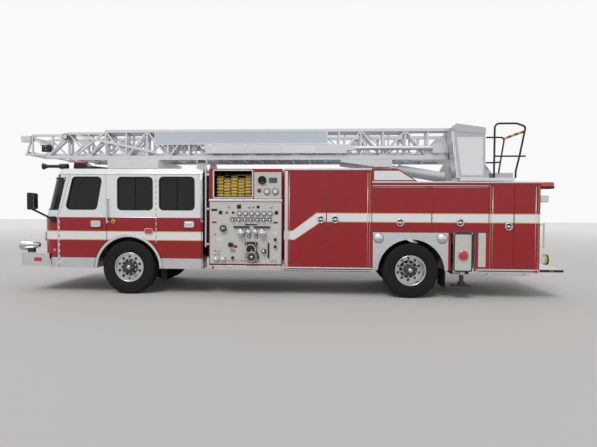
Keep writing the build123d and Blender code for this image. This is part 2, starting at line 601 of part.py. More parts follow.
def knuckles():
    """Steering knuckles with yoke, spindle, back plate and steering arm."""
    half, y0, y1, low, high, thick = (YOKE[k] for k in ("half", "y0", "y1", "low", "high", "thick"))
    knuckle = block(-half, half, -y1, -PIN_Y, low, low + thick) + block(-half, half, -y1, -PIN_Y, high - thick, high)
    knuckle += upright(0, -PIN_Y, half, low, low + thick) + upright(0, -PIN_Y, half, high - thick, high)
    knuckle += block(-60, 60, -y1, -y1 + 20, low, high)
    knuckle -= upright(0, -PIN_Y, PIN_R + RUN, low - 1, high + 1)
    knuckle += across(0, TYRE_R, SPINDLE_R, -FRONT_TYRE_Y - 110, -y1 + 1)
    knuckle += across(0, TYRE_R, DRUM_R - 20, -y1 - 8, -y1 + 1)
    knuckle += block(-230, -half + 1, -PIN_Y - 20, -PIN_Y + 20, low, low + 36)
    put("knuckle_left", knuckle)
    put("knuckle_right", mirrored(knuckle))


def leaf_spring(x, seat_z, tip_z):
    """Slightly arched spring pack between its hangers, on the driver's side."""
    bottom = ThreePointArc((x - 720, tip_z), (x, seat_z), (x + 720, tip_z))
    top = ThreePointArc((x + 720, tip_z + 60), (x, seat_z + 70), (x - 720, tip_z + 60))
    ends = [Line(bottom @ 1, top @ 0), Line(top @ 1, bottom @ 0)]
    pack = stand(make_face([bottom, ends[0], top, ends[1]]), -SPRING_Y1, -SPRING_Y0)
    for end in (x - 700, x + 640):
        pack += block(end, end + 60, -SPRING_Y1, -SPRING_Y0, tip_z + 20, RAIL_Z0)
    return pack


def axles():
    """Steered beam axle and driven rear axle, both on leaf springs."""
    low, high = BEAM_Z
    beam = block(-BEAM_HALF, BEAM_HALF, -PIN_Y + 62, PIN_Y - 62, low, high)
    for y in (-PIN_Y, PIN_Y):
        beam += upright(0, y, BOSS_R, YOKE["low"] + YOKE["thick"] + 5, YOKE["high"] - YOKE["thick"] - 5)
        root = y - math.copysign(BOSS_NECK, y)
        beam += block(-BOSS_R + 8, BOSS_R - 8, min(y, root), max(y, root), low, high)
        beam += upright(0, y, PIN_R, YOKE["low"] - 12, YOKE["high"] + 12)
    spring = leaf_spring(0, high - 1, 600)
    put("front_axle", beam + spring + mirrored(spring))
    tube_y = WHEEL_FACE - 90
    housing = across(REAR_AXLE, TYRE_R, SPINDLE_R + 15, -tube_y, tube_y)
    housing += across(REAR_AXLE, TYRE_R, 90, -tube_y + 575, tube_y - 575)
    housing += across(REAR_AXLE, TYRE_R, 215, -110, 110)
    spring = leaf_spring(REAR_AXLE, TYRE_R + 80, 620)
    housing += spring + mirrored(spring)
    housing += along(0, SHAFT_Z, 64, ENGINE["x1"], ENGINE["x1"] + 40)
    housing += rod((ENGINE["x1"] + 20, 0, SHAFT_Z), (REAR_AXLE - 100, 0, TYRE_R), 50)
    put("rear_axle", housing)


# pump module
PUMP_X0, PUMP_X1 = CAB_X1 + 128, 3095
PUMP_HALF = BODY_HALF - 10
PUMP_Z0, PUMP_Z1 = 600, 2510
HOSE_BIN = (1745, 2500, 1950, 2470)
GAUGE_PANEL = (2545, 3075, 1925, 2440)
MAIN_PANEL = (1660, 3080, 637, 1854)
PANEL_T = 12
STEP_BAR = (1742, 3077, 512, 600)
RUNNING_Z = 1000          # floor above the frame rails
SIDE_WALL_Y = 520


def inner_of(window, margin):
    """The same rectangle with a margin taken off all round."""
    x0, x1, z0, z1 = window
    return (x0 + margin, x1 - margin, z0 + margin, z1 - margin)


def through(window):
    """Cut from side to side."""
    x0, x1, z0, z1 = window
    return block(x0, x1, -PUMP_HALF - 50, PUMP_HALF + 50, z0, z1)


def pump_house():
    """Open frame of the pump module with the hose bin across its top."""
    house = block(PUMP_X0, PUMP_X1, -PUMP_HALF, PUMP_HALF, PUMP_Z0, PUMP_Z1)
    house -= through(HOSE_BIN) + through(inner_of(GAUGE_PANEL, 20))
    x0, x1, z0, z1 = inner_of(MAIN_PANEL, 30)
    house -= through((x0, x1, RUNNING_Z, z1))
    house -= block(PUMP_X0 - 1, PUMP_X1 + 1, -SIDE_WALL_Y + 40, SIDE_WALL_Y - 40, PUMP_Z0 - 1, RAIL_Z1)
    for side in (-1, 1):
        y = sorted((side * SIDE_WALL_Y, side * (PUMP_HALF + 50)))
        house -= block(x0, x1, y[0], y[1], z0, RUNNING_Z + 1)
        y = sorted((side * (PUMP_HALF - 90), side * BODY_HALF))
        house += block(STEP_BAR[0], STEP_BAR[1], y[0], y[1], STEP_BAR[2], STEP_BAR[3] + 1)
    put("pump_house", house)


GAUGE_X = [2250, 2371, 2493, 2614, 2738, 2857]
GAUGE_Z = 1629
PULL_X = [2120, 2240, 2360, 2480, 2610, 2730, 2850]
PULL_Z = 1500
# station, height, radius, reach of the round outlets and inlets
OUTLETS = [(2289, 1248, 62, 95), (2708, 1248, 62, 95), (2430, 1262, 40, 50), (2570, 1262, 40, 50),
           (1790, 720, 40, 60), (1930, 720, 40, 60)]
RIGHT_OUTLETS = [(2000, 1248, 62, 95), (2380, 1248, 62, 95), (2760, 1248, 62, 95)]
INLET_X, INLET_Z, INLET_R = 2509, 785, 112
VALVE_WHEEL = (1935, 1336, 62)


def panel_plate(window):
    """Flat panel on the outside of the module, on the driver's side."""
    x0, x1, z0, z1 = window
    return block(x0, x1, -PUMP_HALF - PANEL_T, -PUMP_HALF, z0, z1)


def stub(x, z, radius, reach):
    """Round fitting standing off the panel."""
    face = -PUMP_HALF - PANEL_T
    return across(x, z, radius, face - reach, face + 2)


def inlet():
    """Large gated inlet with its elbow and cap."""
    piece = stub(INLET_X, INLET_Z, INLET_R, 120) + stub(INLET_X, INLET_Z, INLET_R + 14, 60)
    elbow = stub(INLET_X - 20, INLET_Z + 150, INLET_R - 12, 100)
    return piece + elbow + block(INLET_X - 115, INLET_X + 75, -PUMP_HALF - PANEL_T - 90, -PUMP_HALF - 1,
                                 INLET_Z + 60, INLET_Z + 160)


def pump_panels():
    """Operator's panel with its gauges, pulls, outlets and inlet, and the plainer right side."""
    main = panel_plate(MAIN_PANEL)
    for x in GAUGE_X:
        main += stub(x, GAUGE_Z, 46, 14)
    for x in PULL_X:
        main += stub(x, PULL_Z, 10, 40) + block(x - 34, x + 34, -PUMP_HALF - 66, -PUMP_HALF - 48,
                                                PULL_Z - 10, PULL_Z + 10)
    for x0, x1 in ((2140, 2459), (2538, 2857)):
        main += block(x0, x1, -PUMP_HALF - 50, -PUMP_HALF - 30, 1354, 1378)
        for x in (x0 + 20, x1 - 40):
            main += block(x, x + 20, -PUMP_HALF - 40, -PUMP_HALF - 1, 1356, 1376)
    for x, z, radius, reach in OUTLETS:
        main += stub(x, z, radius, reach)
    x, z, radius = VALVE_WHEEL
    main += stub(x, z, 14, 60) + ring(x, z, radius - 14, radius, -PUMP_HALF - 72, -PUMP_HALF - 58)
    main += block(x - radius + 8, x + radius - 8, -PUMP_HALF - 70, -PUMP_HALF - 60, z - 9, z + 9)
    main += block(2818, 2838, -PUMP_HALF - 40, -PUMP_HALF - 1, 760, 1053)
    main += block(2040, 2120, -PUMP_HALF - 60, -PUMP_HALF - 1, 980, 1050)
    main += inlet()
    small = panel_plate(GAUGE_PANEL)
    small += stub(2700, 2285, 78, 30)
    small += block(2840, 2985, -PUMP_HALF - 24, -PUMP_HALF - 1, 2240, 2330)
    for x in (2795, 2960):
        small += stub(x, 2060, 58, 16)
    put("pump_panels", main, small)
    right = panel_plate(MAIN_PANEL) + inlet()
    for x, z, radius, reach in RIGHT_OUTLETS:
        right += stub(x, z, radius, reach)
    put("pump_panels", mirrored(right), mirrored(panel_plate(GAUGE_PANEL)))


def crosslay_hose():
    """Hose folded into the bin, seen at both sides."""
    x0, x1, z0, z1 = HOSE_BIN
    width = (x1 - x0 - 40) / 5
    load = None
    for k in range(5):
        a = x0 + 20 + k * width
        top = z1 - 90 - 40 * (k % 2)
        column = block(a, a + width + 0.5, -PUMP_HALF + 80, PUMP_HALF - 80, z0, top)
        load = column if load is None else load + column
    put("crosslay_hose", load)


# body behind the pump
BODY_X0, BODY_X1 = PUMP_X1 + 38, REAR_AXLE + TAIL_REACH - 460
LOCKER_Y = 660            # inner wall of the lockers
LOCKER_IN = LOCKER_Y - 30
LOCKER_STOP = 24          # the frame that a closed door rests against
FRONT_TOP, REAR_TOP = 2520, 2267
HIGH_X1 = REAR_AXLE - 766
REAR_FOOT = 595
BED_Z = 1740
BED_X1 = REAR_AXLE + 820
CASE_X0, CASE_X1 = REAR_AXLE + 750, REAR_AXLE + 1218  # recess for the outrigger's cover
BODY_SIDE = [(BODY_X0, 509), (HIGH_X1, 509), (HIGH_X1, 550), (CASE_X0, 550), (CASE_X0, 1292), (CASE_X1, 1292),
             (CASE_X1, REAR_FOOT), (BODY_X1, REAR_FOOT), (BODY_X1, REAR_TOP), (REAR_AXLE + 114, REAR_TOP),
             (REAR_AXLE - 269, 2508), (HIGH_X1, 2508), (HIGH_X1, FRONT_TOP), (BODY_X0, FRONT_TOP)]
REAR_LOCKER_X0, REAR_LOCKER_X1 = REAR_AXLE + 1519, BODY_X1 - 70
REAR_SPLIT = REAR_LOCKER_X0 + (REAR_LOCKER_X1 - REAR_LOCKER_X0) * 408 / 821
# door openings: first and last station, low and high edge, and the stations that split them
LOCKERS = {"front": (BODY_X0 + 89, HIGH_X1 - 67, 595, 2446, BODY_X0 + 829),
           "upper": (HIGH_X1 + 3, REAR_AXLE + 1460, 1300, 2160, REAR_AXLE + 384),
           "rear": (REAR_LOCKER_X0, REAR_LOCKER_X1, 625, 2200, REAR_SPLIT)}
ARCH_OPEN_Y = 560
OUTLET_Y, OUTLET_Z, OUTLET_R = BODY_HALF - 160, 770, 92
OUTLET_BLOCK_HALF = 62    # its corners stay inside the collar that slides over the outlet


def body_modules(side):
    """Parts a body side where its modules meet: ahead of the outrigger's recess, above it and behind it."""
    reach = BODY_HALF + 10
    seams = (BODY_X0 - 1, CASE_X0, CASE_X0 + SEAT, CASE_X1 - SEAT, CASE_X1, BODY_X1 + 1)
    return [side & block(a, b, -reach, -LOCKER_IN + 1, 500, FRONT_TOP + 1) for a, b in zip(seams[::2], seams[1::2])]


def body_shell():
    """Hollow lockers on both sides, the hose bed between them and the deck round the turntable."""
    side = side_plate(BODY_SIDE, -BODY_HALF, -LOCKER_IN)
    side -= block(HIGH_X1, REAR_AXLE + 200, -BODY_HALF + 50, -LOCKER_Y + 40, REAR_TOP, FRONT_TOP)
    side -= across(REAR_AXLE, ARCH_Z, ARCH_R, -BODY_HALF - 1, -ARCH_OPEN_Y)
    for x0, x1, z0, z1, split in LOCKERS.values():
        side -= block(x0 - DOOR_GAP, x1 + DOOR_GAP, -BODY_HALF - 1, -BODY_HALF + LOCKER_T + SEAT,
                      z0 - DOOR_GAP, z1 + DOOR_GAP)
        for a, b in ((x0, split), (split, x1)):
            side -= block(a + LOCKER_STOP, b - LOCKER_STOP, -BODY_HALF, -LOCKER_Y,
                          z0 + LOCKER_STOP, z1 - LOCKER_STOP)
    for module in body_modules(side):
        put("body_shell", module, mirrored(module))
    inner = LOCKER_IN - SEAT
    bed = block(BODY_X0, BODY_X0 + 40, -inner, inner, RAIL_Z1 + 80, FRONT_TOP - 20)
    bed += block(BODY_X0 + 39, BED_X1, -inner, inner, BED_Z - 40, BED_Z)
    bed += block(BED_X1 - 40, BED_X1, -inner, inner, BED_Z - 1, 2255)
    deck = block(BED_X1 + SEAT, BODY_X1 - 40, -inner, inner, 2225, 2255)
    deck += block(BODY_X1 - 41, BODY_X1, -inner, inner, RAIL_Z1 + 80, 2255)
    deck -= upright(TURN_X, 0, SLEW_R + 20, 2200, 2300)
    put("body_shell", bed, deck)
    for x in (BODY_X0 + 167, HIGH_X1 - 134, CASE_X0 - 50, BODY_X1 - 210):
        put("body_shell", block(x, x + 80, -inner, inner, RAIL_Z1, RAIL_Z1 + 70))
    half = OUTLET_BLOCK_HALF
    outlet = block(BODY_X1 + SEAT, BODY_X1 + 150, -OUTLET_Y - half, -OUTLET_Y + half, OUTLET_Z - half, OUTLET_Z + half)
    outlet += along(-OUTLET_Y, OUTLET_Z, OUTLET_R, BODY_X1 + 149, BODY_X1 + 209)
    put("body_shell", outlet, mirrored(outlet))


HANDLES = {"front": ((BODY_X0 + 719, 1523), (BODY_X0 + 995, 1524)),
           "upper": ((REAR_AXLE - 216, 1472), (REAR_AXLE + 922, 1480)), "rear": ((REAR_SPLIT - 99, 1408),)}
HANDLE_R = 74


def locker_doors():
    """Double doors front and rear, lift-up doors above the wheel."""
    y0, y1 = -BODY_HALF, -BODY_HALF + LOCKER_T
    for name, (x0, x1, z0, z1, split) in LOCKERS.items():
        leaves = []
        for a, b in ((x0, split - DOOR_GAP / 2), (split + DOOR_GAP / 2, x1)):
            leaf = block(a, b, y0, y1, z0, z1)
            for hx, hz in HANDLES[name]:
                if a < hx < b:
                    leaf += ring(hx, hz, HANDLE_R - 20, HANDLE_R, y0 - 22, y0 + 1)
                    leaf += across(hx, hz, 26, y0 - 16, y0 + 1)
                    leaf += block(hx - HANDLE_R + 4, hx + HANDLE_R - 4, y0 - 14, y0 + 1, hz - 9, hz + 9)
            leaves.append(leaf)
        if name == "upper":
            tie = block(split - 60, split + 60, y0 + 22, y1, z0 + 40, z1)
            pair = leaves[0] + leaves[1] + tie
            for a, b in ((x0 + 60, split - 60), (split + 60, x1 - 60)):
                pair += along(y0, z1, HINGE_R, a, b)
            put("upper_doors_left", pair)
            put("upper_doors_right", mirrored(pair))
        else:
            for place, leaf, edge in zip(("fore", "aft"), leaves, (x0, x1)):
                leaf += upright(edge, y0, HINGE_R, z0 + 40, z1 - 40)
                put(name + "_locker_" + place + "_left", leaf)
                put(name + "_locker_" + place + "_right", mirrored(leaf))


FENDER = (REAR_AXLE - 735, REAR_AXLE + 702, 552, 1280)
FLAP_T = 12


def arch_band(x, r0, r1, y0, y1, foot):
    """Half ring over a wheel."""
    return ring(x, ARCH_Z, r0, r1, y0, y1) & block(x - r1, x + r1, y0, y1, foot, ARCH_Z + r1)


def wheel_arches():
    """Front arch trims and flaps, rear fender panels with liners and flaps."""
    trim = arch_band(0, TRIM_R0, TRIM_R1, -CAB_HALF - 12, -CAB_HALF, CAB_Z0)
    flap = block(672, 672 + FLAP_T, -CAB_HALF + 25, -CAB_HALF + 325, 250, CAB_Z0)
    x0, x1, z0, z1 = FENDER
    panel = block(x0, x1, -BODY_HALF - 4, -BODY_HALF, z0, z1)
    panel -= across(REAR_AXLE, ARCH_Z, TRIM_R0, -BODY_HALF - 5, -BODY_HALF + 1)
    panel += arch_band(REAR_AXLE, TRIM_R0, TRIM_R1, -BODY_HALF - 12, -BODY_HALF, z0)
    liner = arch_band(REAR_AXLE, ARCH_R - 16, ARCH_R - SEAT, -BODY_HALF + SEAT, -575, z0)
    flap_x = REAR_AXLE + ARCH_R - 4
    rear_flap = block(flap_x - FLAP_T, flap_x, -WHEEL_FACE, -600, 210, z0 - SEAT)
    for piece in (trim, flap, panel, liner, rear_flap):
        put("wheel_arches", piece, mirrored(piece))


TAIL_Z0, TAIL_Z1 = 540, 595
TAIL_X1 = REAR_AXLE + TAIL_REACH


def tailboard():
    """Rear step with its side runners and the bars under them."""
    plan = outline((BODY_X1 - 1, -BODY_HALF), (TAIL_X1, -BODY_HALF), (TAIL_X1, BODY_HALF), (BODY_X1 - 1, BODY_HALF))
    corners = plan.vertices().sort_by(Axis.X)[-2:]
    board = Pos(0, 0, TAIL_Z0) * extrude(fillet(corners, 60), amount=TAIL_Z1 - TAIL_Z0)
    start = CASE_X1 + 5
    put("tailboard", board)
    for side in (-1, 1):
        y = sorted((side * (BODY_HALF - 120), side * BODY_HALF))
        put("tailboard", block(start, BODY_X1 - 1 - SEAT, y[0], y[1], TAIL_Z0, TAIL_Z1 - SEAT))
        y = sorted((side * (BODY_HALF - 100), side * (BODY_HALF - 50)))
        bar_piece = block(start + 209, BODY_X1 - 149, y[0], y[1], TAIL_Z0 - 85, TAIL_Z0 - 60)
        for x in (start + 257, BODY_X1 - 250):
            bar_piece += block(x, x + 50, y[0], y[1], TAIL_Z0 - 61, TAIL_Z0 - SEAT)
        put("tailboard", bar_piece)


def roof_fittings():
    """Flat cooling unit and the two posts that the stowed ladder lies over."""
    unit = block(-632, 476, -800, 800, 2556, 2735)
    unit = fillet(unit.edges().filter_by(Axis.Z), 40)
    for x in (-560, 340):
        for y in (-700, 620):
            unit += block(x, x + 80, y, y + 80, CAB_Z1, 2557)
    put("roof_unit", unit)
    for side in (-1, 1):
        y = sorted((side * 470, side * 580))
        rest = side_plate([(1190, CAB_Z1), (1430, CAB_Z1), (1370, 2750), (1250, 2750)], y[0], y[1])
        put("ladder_rest", rest)


# turntable
PIVOT = (TURN_X - 250, 2943)     # ladder heel pivot
PIVOT_R = 45
LIFT_PIN = (TURN_X - 593, 2414)  # rear pin of the lift cylinders
LIFT_PIN_R = 35
ROD_PIN = (TURN_X - 1885, 2630)  # front pin, under the ladder
LIFT_Y = 330
EYE_HALF = 30
PLATFORM_HALF_X, PLATFORM_HALF_Y = 558, 1000
PLATFORM_Z0, PLATFORM_Z1 = 2294, 2352
FOOT_Z = PLATFORM_Z1 + SEAT
CHEEK_Y0, CHEEK_Y1 = 420, 470


def from_turn(*corners):
    """Corners of a drawing whose stations are measured from the turntable axis."""
    return [(TURN_X + x, z) for x, z in corners]


TONGUE_X0, TONGUE_Z1 = -670, 2322
EDGE_X = -PLATFORM_HALF_X - SEAT
CHEEK = from_turn((TONGUE_X0, TONGUE_Z1 + SEAT), (EDGE_X, TONGUE_Z1 + SEAT), (EDGE_X, FOOT_Z), (250, FOOT_Z),
                  (250, 2480), (-130, 3030), (-360, 3030), (-660, 2500))
LUG = from_turn((-660, TONGUE_Z1 + SEAT), (EDGE_X, TONGUE_Z1 + SEAT), (EDGE_X, 2470), (-640, 2470))
CONSOLE_Y0, CONSOLE_Y1 = -980, -660
CONSOLE = from_turn((-714, 3274), (-629, 3262), (-51, 3212), (-35, FOOT_Z), (-595, FOOT_Z))
LID_HINGE = (TURN_X - 627, 3262)
LID = from_turn((-627, 3262 + SEAT), (-43, 3212 + SEAT), (-43, 3330), (-110, 3345), (-610, 3418), (-627, 3400))
LID_T = 14
LID_ROOM = from_turn((-627 + LID_T, 3230), (-43 - LID_T, 3180), (-43 - LID_T, 3316), (-115, 3331),
                     (-627 + LID_T, 3394))


def turntable():
    """Turning platform with the ladder cheeks, cylinder lugs, console and step."""
    put("turntable", upright(TURN_X, 0, SLEW_R, SLEW_Z1 + SEAT, PLATFORM_Z0 - SEAT))
    plan = block(TURN_X - PLATFORM_HALF_X, TURN_X + PLATFORM_HALF_X, -PLATFORM_HALF_Y, PLATFORM_HALF_Y,
                 PLATFORM_Z0, PLATFORM_Z1)
    platform = fillet(plan.edges().filter_by(Axis.Z), 120)
    tongue = block(TURN_X + TONGUE_X0, TURN_X - PLATFORM_HALF_X + 1, -CHEEK_Y1, -LIFT_Y + 80, PLATFORM_Z0, TONGUE_Z1)
    put("turntable", platform + tongue + mirrored(tongue))
    cheek = side_plate(CHEEK, -CHEEK_Y1, -CHEEK_Y0) + across(PIVOT[0], PIVOT[1], 90, -CHEEK_Y1, -CHEEK_Y0)
    cheek += across(PIVOT[0], PIVOT[1], PIVOT_R, -556, -CHEEK_Y1 + 1)
    inner = -CHEEK_Y0 + SEAT
    lug = side_plate(LUG, -LIFT_Y + 40, -LIFT_Y + 68)
    lug += across(LIFT_PIN[0], LIFT_PIN[1], LIFT_PIN_R, inner, -LIFT_Y + 68)
    box = block(TURN_X - 34, TURN_X + 35, CONSOLE_Y0 + 20, CONSOLE_Y0 + 140, FOOT_Z, 2519)
    step = block(TURN_X + 148, TURN_X + 500, -950, -620, FOOT_Z, 2450)
    console = side_plate(CONSOLE, CONSOLE_Y0, CONSOLE_Y1)
    console -= across(LID_HINGE[0], LID_HINGE[1], HINGE_R + 1, CONSOLE_Y0 - 1, CONSOLE_Y1 + 1)
    put("turntable", cheek, mirrored(cheek), lug, mirrored(lug), console, box, step)
    lid = side_plate(LID, CONSOLE_Y0 - 8, CONSOLE_Y1 + 8)
    lid -= side_plate(LID_ROOM, CONSOLE_Y0 - 8 + LID_T, CONSOLE_Y1 + 8 - LID_T)
    lid += across(LID_HINGE[0], LID_HINGE[1], HINGE_R, CONSOLE_Y0 - 8, CONSOLE_Y1 + 8)
    put("console_lid", lid)


HOOP_Y = -975
HOOP_R = 19


def tube_path(corners, radii, radius):
    """Round tube along straight runs joined by arcs, in the plane of the hoops, from the turntable axis."""
    path = FilletPolyline(*[(TURN_X + x, HOOP_Y, z) for x, z in corners], radius=radii)
    start = Plane(origin=path @ 0, z_dir=path % 0)
    return sweep(start * Circle(radius), path=path)


def turntable_rails():
    """Black tube hoops round the operator's place."""
    hoop = tube_path([(128, FOOT_Z), (128, 3412), (540, 3412), (715, 3350), (608, 2776), (540, 2480),
                      (540, FOOT_Z)], [90, 120, 60, 300, 120], HOOP_R)
    inner = tube_path([(-30, 3141), (317, 3141), (215, 2452)], [60], HOOP_R - 3)
    low = tube_path([(-30, 2649), (125, 2649), (230, 2660)], [200], HOOP_R - 3)
    middle = along(HOOP_Y, 2776, HOOP_R - 3, TURN_X + 128, TURN_X + 722)
    bar_piece = tube_path([(305, 3110), (500, 3190), (675, 3250)], [600], HOOP_R + 3)
    put("turntable_rails", hoop + inner + low + middle + bar_piece)


# ladder sections: lower tip, upper tip, rear end, outer face, chord width,
# lower chord bottom and top, upper rail bottom and top
LADDER = {"ladder_base": (-1535, -777, TURN_X - 620, 560, 70, 2755, 2846, 3335, 3395),
          "ladder_mid": (-2139, -1640, TURN_X - 660, 470, 60, 2798, 2858, 3312, 3362),
          "ladder_fly": (-TIP_REACH + 85, -TIP_REACH + 245, TURN_X - 1400, 385, 55, 2872, 2912, 3290, 3336)}
BAY = 445
POST_W, BRACE_W = 36, 34
TRUSS_T = 36
RUNG_R = 17
RUNG_PITCH = 356
PAD_L = 220


def truss_drawing(section):
    """Side truss in x and z: chords, posts, alternating braces and the raked tip."""
    tip_low, tip_top, heel, face, chord, low0, low1, top0, top1 = LADDER[section]
    count = round((heel - tip_top) / BAY)
    step = (heel - tip_top) / count
    low, top = (low0 + low1) / 2, (top0 + top1) / 2
    parts = [bar((tip_low + 20, low), (tip_top, top), POST_W)]
    for k in range(count):
        a = tip_top + k * step
        b = a + step
        parts.append(bar((a, low), (a, top), POST_W))
        parts.append(bar((a, low), (b, top), BRACE_W) if k % 2 else bar((a, top), (b, low), BRACE_W))
    parts.append(outline((tip_low, low0), (heel, low0), (heel, low1), (tip_low, low1)))
    parts.append(outline((tip_top, top0), (heel, top0), (heel, top1), (tip_top, top1)))
    parts.append(bar((heel - POST_W / 2, low), (heel - POST_W / 2, top), POST_W))
    drawing = parts[0]
    for part in parts[1:]:
        drawing += part
    return drawing


def side_truss(section):
    """Side truss with its two chords, on the driver's side."""
    tip_low, tip_top, heel, face, chord, low0, low1, top0, top1 = LADDER[section]
    middle = face - chord / 2
    side = stand(truss_drawing(section), -middle - TRUSS_T / 2, -middle + TRUSS_T / 2)
    side += block(tip_low, heel, -face, -face + chord, low0, low1)
    return side + block(tip_top, heel, -face, -face + chord, top0, top1)


def rung_stations(section):
    """Stations of the rungs along a section."""
    tip_low, heel = LADDER[section][0], LADDER[section][2]
    count = int((heel - 90 - tip_low - 120) // RUNG_PITCH)
    return [tip_low + 120 + k * RUNG_PITCH for k in range(count + 1)]


def rungs(section):
    """Eight-sided rungs that seat between the lower chords."""
    face, chord, low0 = LADDER[section][3:6]
    reach = face - chord - SEAT
    rung = extrude(Plane.XZ * RegularPolygon(RUNG_R, 8), amount=reach, both=True)
    return [Pos(x, 0, low0 + RUNG_R + 3) * rung for x in rung_stations(section)]


def pads(section, z0, z1):
    """Slide pads that carry the next section, between the first two rungs and near the heel."""
    face, chord = LADDER[section][3], LADDER[section][4]
    stations = rung_stations(section)
    pieces = []
    for x in (stations[0], stations[-2]):
        start = x + (RUNG_PITCH - PAD_L) / 2
        pad = block(start, start + PAD_L, -face + chord + SEAT, -face + chord + 74, z0, z1)
        pieces += [pad, mirrored(pad)]
    return pieces


HEEL = from_turn((-660, 2755), (50, 2755), (50, 3340), (-10, 3395), (-660, 3395))
HEEL_Y0, HEEL_Y1 = 494, 556
CROSS_TUBE = (TURN_X - 60, TURN_X + 10, 3255, 3325)
LUG_Z0 = 2590
LUG_IN, LUG_OUT = 50, 78   # faces of the lugs either side of a rod eye
EYE_BEAM = (TURN_X - 1980, TURN_X - 1790, 2722, 2792)
WEDGE_TOP = LADDER["ladder_base"][5] - SEAT
WEDGE = from_turn((-2845, WEDGE_TOP), (-2845, 2710), (-2120, 2606), (-1790, 2606), (-1790, WEDGE_TOP))
SIGN = (302, TURN_X - 3119, 3074, 3362)
LONG_BRACE = ((-1409, 3278), (327, 2916))
LINE_BOX = (1399, TURN_X - 2726, 2880, 3061)
LINE_TUBE = (TURN_X - 2562, TURN_X - 989, 2991, 46)
LINE_Y0, LINE_Y1 = 543.3, 640
TIP_HEAD = (300, 400, 3170, 3300)
CONTROL_BOX = (-2260, -2070, 2950, 3090)


def base_side():
    """Base truss with its heel plate, the sign plate and the long brace."""
    face, chord = LADDER["ladder_base"][3:5]
    side = side_truss("ladder_base") + side_plate(HEEL, -HEEL_Y1, -HEEL_Y0)
    side += block(SIGN[0], SIGN[1], -face - 6, -face + 20, SIGN[2], SIGN[3])
    side += stand(bar(*LONG_BRACE, 50), -face, -face + chord / 2)
    return side - across(PIVOT[0], PIVOT[1], PIVOT_R + RUN, -PIVOT_Y - 100, -PIVOT_Y + 100)


def line_gear():
    """Long box and tube along the outside of the base section."""
    x0, x1, z, radius = LINE_TUBE
    gear = block(LINE_BOX[0], LINE_BOX[1], -LINE_Y1, -LINE_Y0, LINE_BOX[2], LINE_BOX[3])
    gear += block(LINE_BOX[1] - 1, x0 + 1, -LINE_Y1, -LINE_Y0, z - 50, z + 50)
    gear += along(-LINE_Y1 + radius, z, radius, x0, x1)
    return gear + block(x1 - 1, TURN_X - 664, -LINE_Y1, -LINE_Y0, 2884, 3080)


def eye_beam():
    """Cross beam under the base section with the lugs and pins for the rod eyes."""
    x0, x1, z0, z1 = EYE_BEAM
    face, chord = LADDER["ladder_base"][3:5]
    reach = face - chord - SEAT
    beam = block(x0, x1, -reach, reach, z0, z1)
    for side in (-1, 1):
        for y0, y1 in ((LIFT_Y - LUG_OUT, LIFT_Y - LUG_IN), (LIFT_Y + LUG_IN, LIFT_Y + LUG_OUT)):
            y = sorted((side * y0, side * y1))
            beam += block(x0 + 30, x1 - 30, y[0], y[1], LUG_Z0, z0 + 1)
        for y0, y1 in ((LIFT_Y - LUG_IN - 1, LIFT_Y - EYE_HALF - 4), (LIFT_Y + EYE_HALF + 4, LIFT_Y + LUG_IN + 1)):
            y = sorted((side * y0, side * y1))
            beam += across(ROD_PIN[0], ROD_PIN[1], 28, y[0], y[1])
    return beam


def tip_head(section):
    """Head in front of the raked tip of the last section, on the driver's side."""
    tip_low, tip_top, heel, face, chord, low0, low1, top0, top1 = LADDER[section]
    low, top = (low0 + low1) / 2, (top0 + top1) / 2
    run, rise = tip_top - tip_low - 20, top - low
    back = POST_W / 2 * math.hypot(run, rise) / rise + SEAT
    y0, y1, z0, z1 = TIP_HEAD

    def rear(z):
        return tip_low + 20 + run * (z - low) / rise - back
    return side_plate([(-TIP_REACH, z0), (rear(z0), z0), (rear(z1), z1), (-TIP_REACH, z1)], -y1, -y0)


def ladder():
    """Three nested lattice sections."""
    side = base_side()
    gear = line_gear()
    put("ladder_base", side, mirrored(side), gear, mirrored(gear), eye_beam())
    wedge = side_plate(WEDGE, -HEEL_Y1, -HEEL_Y0)
    put("ladder_base", wedge, mirrored(wedge))
    x0, x1, z0, z1 = CROSS_TUBE
    put("ladder_base", block(x0, x1, -HEEL_Y0 + SEAT, HEEL_Y0 - SEAT, z0, z1))
    put("ladder_base", *rungs("ladder_base"), *pads("ladder_base", 2770, LADDER["ladder_mid"][5] - SEAT))
    side = side_truss("ladder_mid")
    put("ladder_mid", side, mirrored(side), *rungs("ladder_mid"))
    put("ladder_mid", *pads("ladder_mid", 2812, LADDER["ladder_fly"][5] - SEAT))
    tip_low, tip_top, heel, face, chord, low0, low1, top0, top1 = LADDER["ladder_fly"]
    middle = face - chord / 2
    side = side_truss("ladder_fly")
    side += side_plate([(-1800, top0 + 20), (-1600, top0 + 20), (-1600, 3080)], -middle - 16, -middle + 16)
    head = tip_head("ladder_fly")
    put("ladder_fly", side, mirrored(side), head, mirrored(head), *rungs("ladder_fly"))
    reach = middle - TRUSS_T / 2 - SEAT
    put("ladder_fly", block(tip_top, tip_top + 60, -reach, reach, 3200, 3260))
    reach = face - chord - SEAT
    put("ladder_fly", block(tip_low + 10, tip_low + 95, -reach, reach, low0 + 8, low0 + 88))
    x0, x1, z0, z1 = CONTROL_BOX
    put("ladder_fly", block(x0, x1, -face - 55, -middle - TRUSS_T / 2 - SEAT, z0, z1))


PIVOT_Y = 525
BARREL_R = 78
ROD_R = 45
ROD_EYE_R = 48
BARREL_FRONT = 1067       # barrel length ahead of its rear pin


